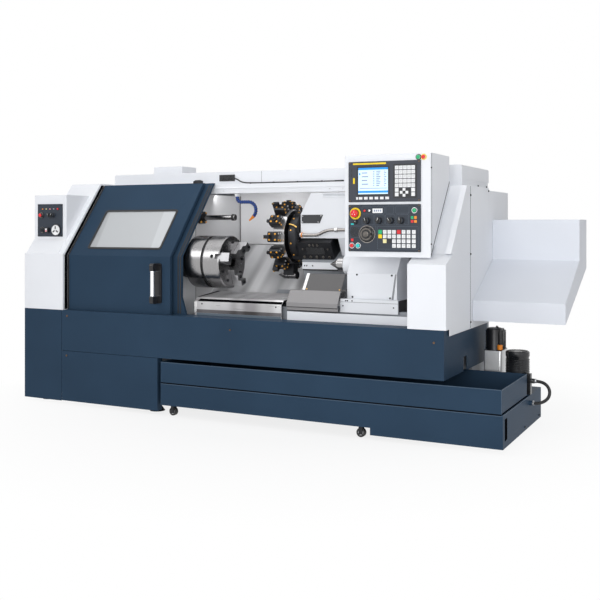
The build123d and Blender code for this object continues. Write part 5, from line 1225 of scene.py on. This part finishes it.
def carriage_fittings():
    centre = place(1930, COVER_Y, 1266)
    cup = Form().frame(rounded(157, 26, 5), rounded(141, 14, 3), centre, X, Z, 3)
    cup.piece("cover_cup", "white_paint", WHITE, bevel=1.2, body="carriage")
    Form().plate(centre, 143, 16, 0.8, 3).piece("cup_hollow", "grey_paint", SHADE_PALE, body="carriage")
    sheet = Form().front_plate(((1722, 1104), (1838, 1104), (1860, 1153), (1722, 1153)), COVER_Y, 3)
    sheet.piece("cover_plate", "dark_steel", PLATE_GREY, bevel=0.8, body="carriage")
    corners = [place(x, COVER_Y - 3, z) for x, z in COVER_SCREWS]
    screws("plate_screws", STEEL, corners, OUT, 3.6, body="carriage")
    pipe("coolant_pipe", [place(*p) for p in PIPE_ROUTE], 9, TUBE, body="carriage")
    start = place(1716, PIPE_Y, 1036)
    union = Form().turned(start, X, [(0, 10), (2, 13), (9, 13), (10, 11.5), (22, 11.5)], 6)
    union.piece("pipe_union", "ground_steel", STEEL, bevel=0.6, body="carriage")
    band = Form().ring(start + X * 11 * MM, X, 11, 14.5, 6, 28)
    band.piece("union_band", "red_plastic", ORANGE, bevel=0.8, body="carriage")
    holder = Form().front(1938, 1052, 1956, 1080, COVER_Y, 16)
    holder.ring(place(1938, PIPE_Y, 1066), X, 8.9, 12.5, 18, 28)
    holder.piece("pipe_clip", "ground_steel", STEEL, bevel=1, body="carriage")
    bar = Form().front_plate(((1722, 838), (2034, 838), (2034, 872), (2028, 878), (1722, 878)), 462, 20)
    bar.piece("way_wiper", "white_paint", WHITE, bevel=1.5, body="carriage")
    screws("wiper_screws", BLACK, [place(x, 442, 858) for x in WIPER_SCREWS], OUT, 4, body="carriage")
    lip = Form().front(1722, 830, 2034, 837.5, 466, 18)
    lip.piece("wiper_lip", "black_rubber", RUBBER, bevel=0.8, body="carriage")


carriage_fittings()

# Tailstock, its guard, which leans back, and the front way cover
TAIL_Y = 190
TAIL_BASE_Y = 152
GUARD_DEEP = 62
GUARD_TALL = 88
GUARD_RISE = Vector((0, GUARD_DEEP, GUARD_TALL)).normalized()
WAY_Y = 130
WAY_FOLD = Vector((0, 30, 24)).normalized()
WAY_ROOF = Vector((0, 228, 20)).normalized()
TAIL_SCREWS = ((2177, 828), (2376, 828), (2151, 708), (2366, 708))
BASE_SCREWS = ((2128, 690), (2138, 690), (2165, 690), (2112, 662), (2400, 662))


def on_guard(x, share):
    """Point on the guard's leaning plate, from its place across and its share of the way up."""
    return place(x, 160 + GUARD_DEEP * share, 738 + GUARD_TALL * share)


def tailstock_fittings():
    body = "tailstock"
    screws("tailstock_screws", BLACK, [place(x, TAIL_Y, z) for x, z in TAIL_SCREWS], OUT, 5, body)
    screws("base_screws", BLACK, [place(x, TAIL_BASE_Y, z) for x, z in BASE_SCREWS], OUT, 3.6, body)
    seam = Form().front_plate(((2374, 700.5), (2385, 700.5), (2402, 834), (2393, 834)), TAIL_Y, 0.8)
    seam.piece("cover_gap", "grey_paint", SHADE, body=body)
    Form().front(2097, 682, 2423, 684, TAIL_BASE_Y, 0.6).piece("base_fold", "grey_paint", SHADE, body=body)
    Form().end(160, 629, 372, 698, 2424, 0.6).piece("base_recess", "dark_steel", SHADE_DARK, body=body)
    clamp = Form().front_plate(((2098, 703), (2119, 703), (2119, 734), (2108, 736), (2098, 728)), 180, 26)
    clamp.turned(place(2108, 154, 720), OUT, [(0, 7), (5, 7), (6, 5), (3, 3)], 6)
    clamp.piece("guard_clamp", "dark_steel", BLACK, bevel=1, body=body)
    ring = Form().ring(about_axis(2073.5, 0, 0), -X, 39, 55, 3, 56)
    ring.piece("quill_wiper", "dark_steel", BLACK, bevel=0.6, body=body)
    bolts = [about_axis(2074, 49, 30 + 60 * i) - X * 3 * MM for i in range(6)]
    screws("wiper_bolts", STEEL, bolts, -X, 3, body)
    edge = Form().slab(oblong(0, 0, 17, 106), on_guard(1865, 0.01), X, GUARD_RISE, 2.4)
    edge.piece("guard_edge", "stainless", STEEL_BRIGHT, bevel=0.6, body=body)
    screws("guard_screws", BRASS, [on_guard(x, 0.07) for x in (1890, 2086)], X.cross(GUARD_RISE), 4, body)
    wiper = Form().front(1790, 646.5, 2096, 649.5, 114, 1.2).front(1790, 626.5, 2096, 631, 120, 1.2)
    wiper.piece("guard_wipers", "black_rubber", RUBBER, bevel=0.4, body=body)


def way_fittings():
    # Near-black strips at the way cover's fold and along its end: painted shade of the gaps there.
    line = Form().slab(((20, 4), (568, 4), (568, 24), (30, 24)), place(1181, WAY_Y, 652), X, WAY_FOLD, 0.8)
    line.slab(((0, 0), (12, 0), (22, 226), (0, 226)), place(1180, 160, 676), X, WAY_ROOF, 0.8)
    line.piece("way_lines", "dark_steel", GAP_SHADE)
    Form().front(1183, 588.5, 1749, 608, WAY_Y, 0.8).piece("way_foot", "dark_steel", DARK_SHEET)
    Form().front(1196, 546, 1749, 588, WAY_Y, 0.6).piece("way_ledge", "navy_paint", BLUE_GREY)
    screws("way_screws", BLACK, [place(x, WAY_Y, 640) for x in (1232, 1716)], OUT, 4)
    Form().front(1180, 588, 1196, 652, WAY_Y, 1.6).piece("way_end", "stainless", STEEL, bevel=0.5)


tailstock_fittings()
way_fittings()

# Coolant nozzle and tool setter
NOZZLE_TOP = (1262, 476, 1270)
NOZZLE_DROP = 10
NOZZLE_BEND_R = 26
NOZZLE_RUN = 54
NOZZLE_HOOK_R = 50
NOZZLE_HOOK = radians(138)
BEADS = 16
BEAD_PROFILE = ((-4.6, 7), (-4.4, 9.4), (-2, 11), (2, 11), (4.4, 9.4), (4.6, 7))
SETTER_YZ = (440, 1140)


def nozzle_line(s):
    """Place and direction at a length along the nozzle: a drop, a bend out, a level run and a hook down."""
    x, y, z = NOZZLE_TOP
    bend = NOZZLE_BEND_R * pi / 2
    turn = min(max(s - NOZZLE_DROP, 0), bend) / NOZZLE_BEND_R
    run = min(max(s - NOZZLE_DROP - bend, 0), NOZZLE_RUN)
    fall = max(s - NOZZLE_DROP - bend - NOZZLE_RUN, 0) / NOZZLE_HOOK_R
    x += NOZZLE_BEND_R * (1 - cos(turn)) + run + NOZZLE_HOOK_R * sin(fall)
    z -= min(s, NOZZLE_DROP) + NOZZLE_BEND_R * sin(turn) + NOZZLE_HOOK_R * (1 - cos(fall))
    lean = turn - fall
    return place(x, y, z), Vector((sin(lean), 0, -cos(lean)))


def nozzle_fittings():
    length = NOZZLE_DROP + NOZZLE_BEND_R * pi / 2 + NOZZLE_RUN + NOZZLE_HOOK_R * NOZZLE_HOOK
    # Blue beads over the hose, whose darker blue shows between them as painted crease shade.
    beads = Form()
    for bead in range(BEADS):
        at, along = nozzle_line(length * (bead + 0.5) / BEADS)
        beads.turned(at, along, BEAD_PROFILE, 24)
    beads.piece("nozzle_beads", "blue_plastic", BLUE)
    end, along = nozzle_line(length)
    tip = Form().turned(end, along, [(-4, 11), (2, 11), (3, 9.6), (38.6, 4.4), (38.6, 2), (30, 2)], 24)
    tip.piece("nozzle_tip", "red_plastic", ORANGE)
    collar = Form().turned(place(1262, 476, 1285.6), -Z, [(0, 17.5), (12, 17.5), (17, 16.6), (19, 12)], 6)
    collar.piece("nozzle_collar", "key_plastic", KEY_WHITE, bevel=0.8)


def setter_fittings():
    centre = place(1040, *SETTER_YZ)
    bolts = [centre + Y * y * MM + Z * z * MM for y in (-27, 27) for z in (-27, 27)]
    screws("setter_bolts", AMBER, bolts, X, 6.5)
    flange = Form().turned(centre, X, [(0, 31), (6, 31), (9, 24), (18, 20), (18, 15.4)], 36)
    flange.piece("setter_flange", "dark_steel", BLACK)
    end = place(1247, *SETTER_YZ)
    cap = Form().turned(end, X, [(0, 16), (2, 19.8), (19, 19.8), (24, 15), (24.6, 8)], 32)
    cap.piece("setter_cap", "black_rubber", RUBBER)


nozzle_fittings()
setter_fittings()

# Tank, pump, hydraulic unit and casters
MOTOR_AT = (2800, 675, 410)
MOTOR_RIBS = 26
PUMP_XY = (2926, 650)
PUMP_FINS = 9
GRILLE_BARS = 24
CLAMPS = ((3031, 600, 262), (3026, 564, 151))
CASTERS = ((1095, "left_wheels"), (2264, "right_wheels"))
CASTER_YS = (45, 485)
HUB_PROFILE = ((0, 14), (0.9, 14), (1.0, 9), (0.4, 8))


def tank_fittings():
    # Near-black strips in the slot at the tank's end and in the gap between pan and tank: painted shade.
    Form().end(36, 61, 80, 164, TANK_X, 0.8).piece("tank_slot", "black_rubber", GAP_SHADE)
    gap = Form().front(1037, 187, 3003, 193, 0, 0.8).end(2, 190, 524, 197, PAN_X, 0.8)
    gap.piece("pan_gap", "black_rubber", GAP_SHADE)
    # Lighter navy strips along the edges of the pan and the tank: painted highlights.
    edges = Form()
    for box in ((1037, 182.5, 3009, 186), (1037, 306, 3003, 309.5), (3001, 198, 3004, 306)):
        edges.front(*box, 0, 0.8)
    edges.end(2, 306, 524, 309.5, PAN_X, 0.8).end(2, 185.5, 524, 189, TANK_X, 0.8)
    edges.piece("pan_edge_highlights", "navy_paint", NAVY_EDGE_HIGHLIGHT)


def motor_fittings():
    motor = place(*MOTOR_AT)
    ribs = Form().ring(motor + Z * 4 * MM, Z, 50, 57, 8, 56).ring(motor + Z * 100 * MM, Z, 50, 55, 6, 56)
    for index in range(MOTOR_RIBS):
        a = 2 * pi * index / MOTOR_RIBS
        out = Vector((cos(a), sin(a), 0))
        ribs.slab(rounded(3, 82, 1), motor + out * 51.5 * MM + Z * 57 * MM, Z.cross(out), Z, 3.5)
    ribs.piece("motor_ribs", "dark_steel", BLACK_PAINT)
    union = Form().turned(place(2838, 618, 414), Z, [(0, 12), (2, 15), (26, 15), (28, 11)], 8)
    union.piece("hydraulic_union", "red_plastic", ORANGE, bevel=0.8)
    cord("hydraulic_line", LINE_ROUTE, LINE_RADIUS)


def pump_fittings():
    x, y = PUMP_XY
    fins = Form()
    for step in range(PUMP_FINS):
        fins.ring(place(x, y, 292 + step * 9), Z, 60.5, 64, 3.4, 56)
    fins.piece("pump_fins", "dark_steel", BLACK_PAINT, bevel=0.5)
    cap = Form().ring(place(x, y, 409), Z, 30, 58, 2.4, 56)
    for index in range(GRILLE_BARS):
        a = 2 * pi * index / GRILLE_BARS
        at = place(x + 44 * cos(a), y + 44 * sin(a), 411.4)
        cap.slab(rounded(3, 22, 1, 2), at, Vector((-sin(a), cos(a), 0)), Vector((-cos(a), -sin(a), 0)), 1)
    cap.piece("pump_grille", "dark_steel", BLACK_PAINT)
    clamps = Form()
    for x, y, z in CLAMPS:
        clamps.ring(place(x, y, z), X, 8.4, 10.6, 8, 32)
        clamps.screw(place(x + 4, y, z + 11), Z, 3.2)
    clamps.piece("hose_clamps", "ground_steel", STEEL)


def caster_fittings():
    for x, body in CASTERS:
        hubs = Form()
        for y in CASTER_YS:
            for side in (-1, 1):
                hubs.turned(place(x, y + side * 9.2, 24.5), Y * side, HUB_PROFILE, 28)
        hubs.piece(body + "_hubs", "ground_steel", GREY, body=body)


tank_fittings()
motor_fittings()
pump_fittings()
caster_fittings()

# Studio
AMBIENT = 0.30
FLOOR_REACH = 30.0
FLOOR_DEEP = 0.02
FADE_START = 0.9
FADE_END = 2.2
CAMERA_AT = (2.4671, -4.8287, 1.088)
CAMERA_TURN = radians(26.9)


def area_light(name, at, aim, size, power):
    lamp = bpy.data.lights.new(name, "AREA")
    lamp.shape = "RECTANGLE"
    lamp.size = size[0]
    lamp.size_y = size[1]
    lamp.energy = power
    thing = show(name, lamp)
    thing.location = at
    thing.rotation_euler = (Vector(aim) - Vector(at)).to_track_quat("-Z", "Y").to_euler()


def seen_rays(nodes, links):
    """One for the rays that see the background: from the camera, a mirror or a pane."""
    path = nodes.new("ShaderNodeLightPath")
    total = path.outputs["Is Camera Ray"]
    for kind in ("Is Glossy Ray", "Is Transmission Ray"):
        larger = nodes.new("ShaderNodeMath")
        larger.operation = "MAXIMUM"
        links.new(total, larger.inputs[0])
        links.new(path.outputs[kind], larger.inputs[1])
        total = larger.outputs[0]
    return total


def studio_world():
    world = bpy.data.worlds.new("studio")
    bpy.context.scene.world = world
    world.use_nodes = True
    nodes = world.node_tree.nodes
    links = world.node_tree.links
    back = nodes["Background"]
    back.inputs["Color"].default_value = (1, 1, 1, 1)
    level = nodes.new("ShaderNodeMapRange")
    level.inputs["To Min"].default_value = AMBIENT
    level.inputs["To Max"].default_value = 1.0
    links.new(seen_rays(nodes, links), level.inputs["Value"])
    links.new(level.outputs["Result"], back.inputs["Strength"])


def studio_floor():
    """Pale floor that fades to white away from the machine."""
    form = Form().box((-FLOOR_REACH, -FLOOR_REACH, -FLOOR_DEEP), (FLOOR_REACH, FLOOR_REACH, 0.0))
    data = bpy.data.meshes.new("floor")
    form.mesh.to_mesh(data)
    form.mesh.free()
    thing = show("floor", data)
    made = Finish("pale_floor", (0.90, 0.90, 0.91), 0.7)
    grain = made.noise(made.place_on_object(), 40.0)
    made.tint(made.spread(grain, 0, 1), (0.89, 0.89, 0.90), (0.91, 0.91, 0.92))
    far = made.vectors("LENGTH", made.place_on_object())["Value"]
    fade = made.spread(far, 0.82, 1.0, FADE_START, FADE_END)
    mix = made.node("MixShader")
    made.join(made.maths("MULTIPLY", fade, seen_rays(made.nodes, made.links)), mix.inputs["Fac"])
    made.join(made.shader.outputs["BSDF"], mix.inputs[1])
    made.join(made.node("Emission").outputs["Emission"], mix.inputs[2])
    made.join(mix.outputs["Shader"], made.nodes["Material Output"].inputs["Surface"])
    data.materials.append(made.material)


def studio_camera():
    data = bpy.data.cameras.new("camera")
    data.lens = 53.8
    data.sensor_width = 36.0
    data.shift_y = -0.1233
    data.clip_end = 100
    thing = show("camera", data)
    thing.location = CAMERA_AT
    thing.rotation_euler = (radians(90), 0, CAMERA_TURN)
    bpy.context.scene.camera = thing


area_light("front", (1.6, -6.2, 1.4), (0.0, 0.0, 0.9), (4.0, 2.4), 142)
area_light("key", (-3.0, -4.5, 3.6), (0.0, -0.2, 0.8), (3.0, 2.0), 58)
area_light("fill", (4.8, -2.6, 2.2), (0.4, 0.0, 0.8), (2.4, 2.4), 42)
area_light("top", (0.0, -0.8, 4.2), (0.0, -0.1, 0.8), (4.0, 2.0), 50)
area_light("work", place(1580, 600, 1278), place(1580, 915, 1080), (1.15, 0.06), 1.0)
studio_world()
studio_floor()
studio_camera()
bpy.context.scene.view_settings.view_transform = "Standard"
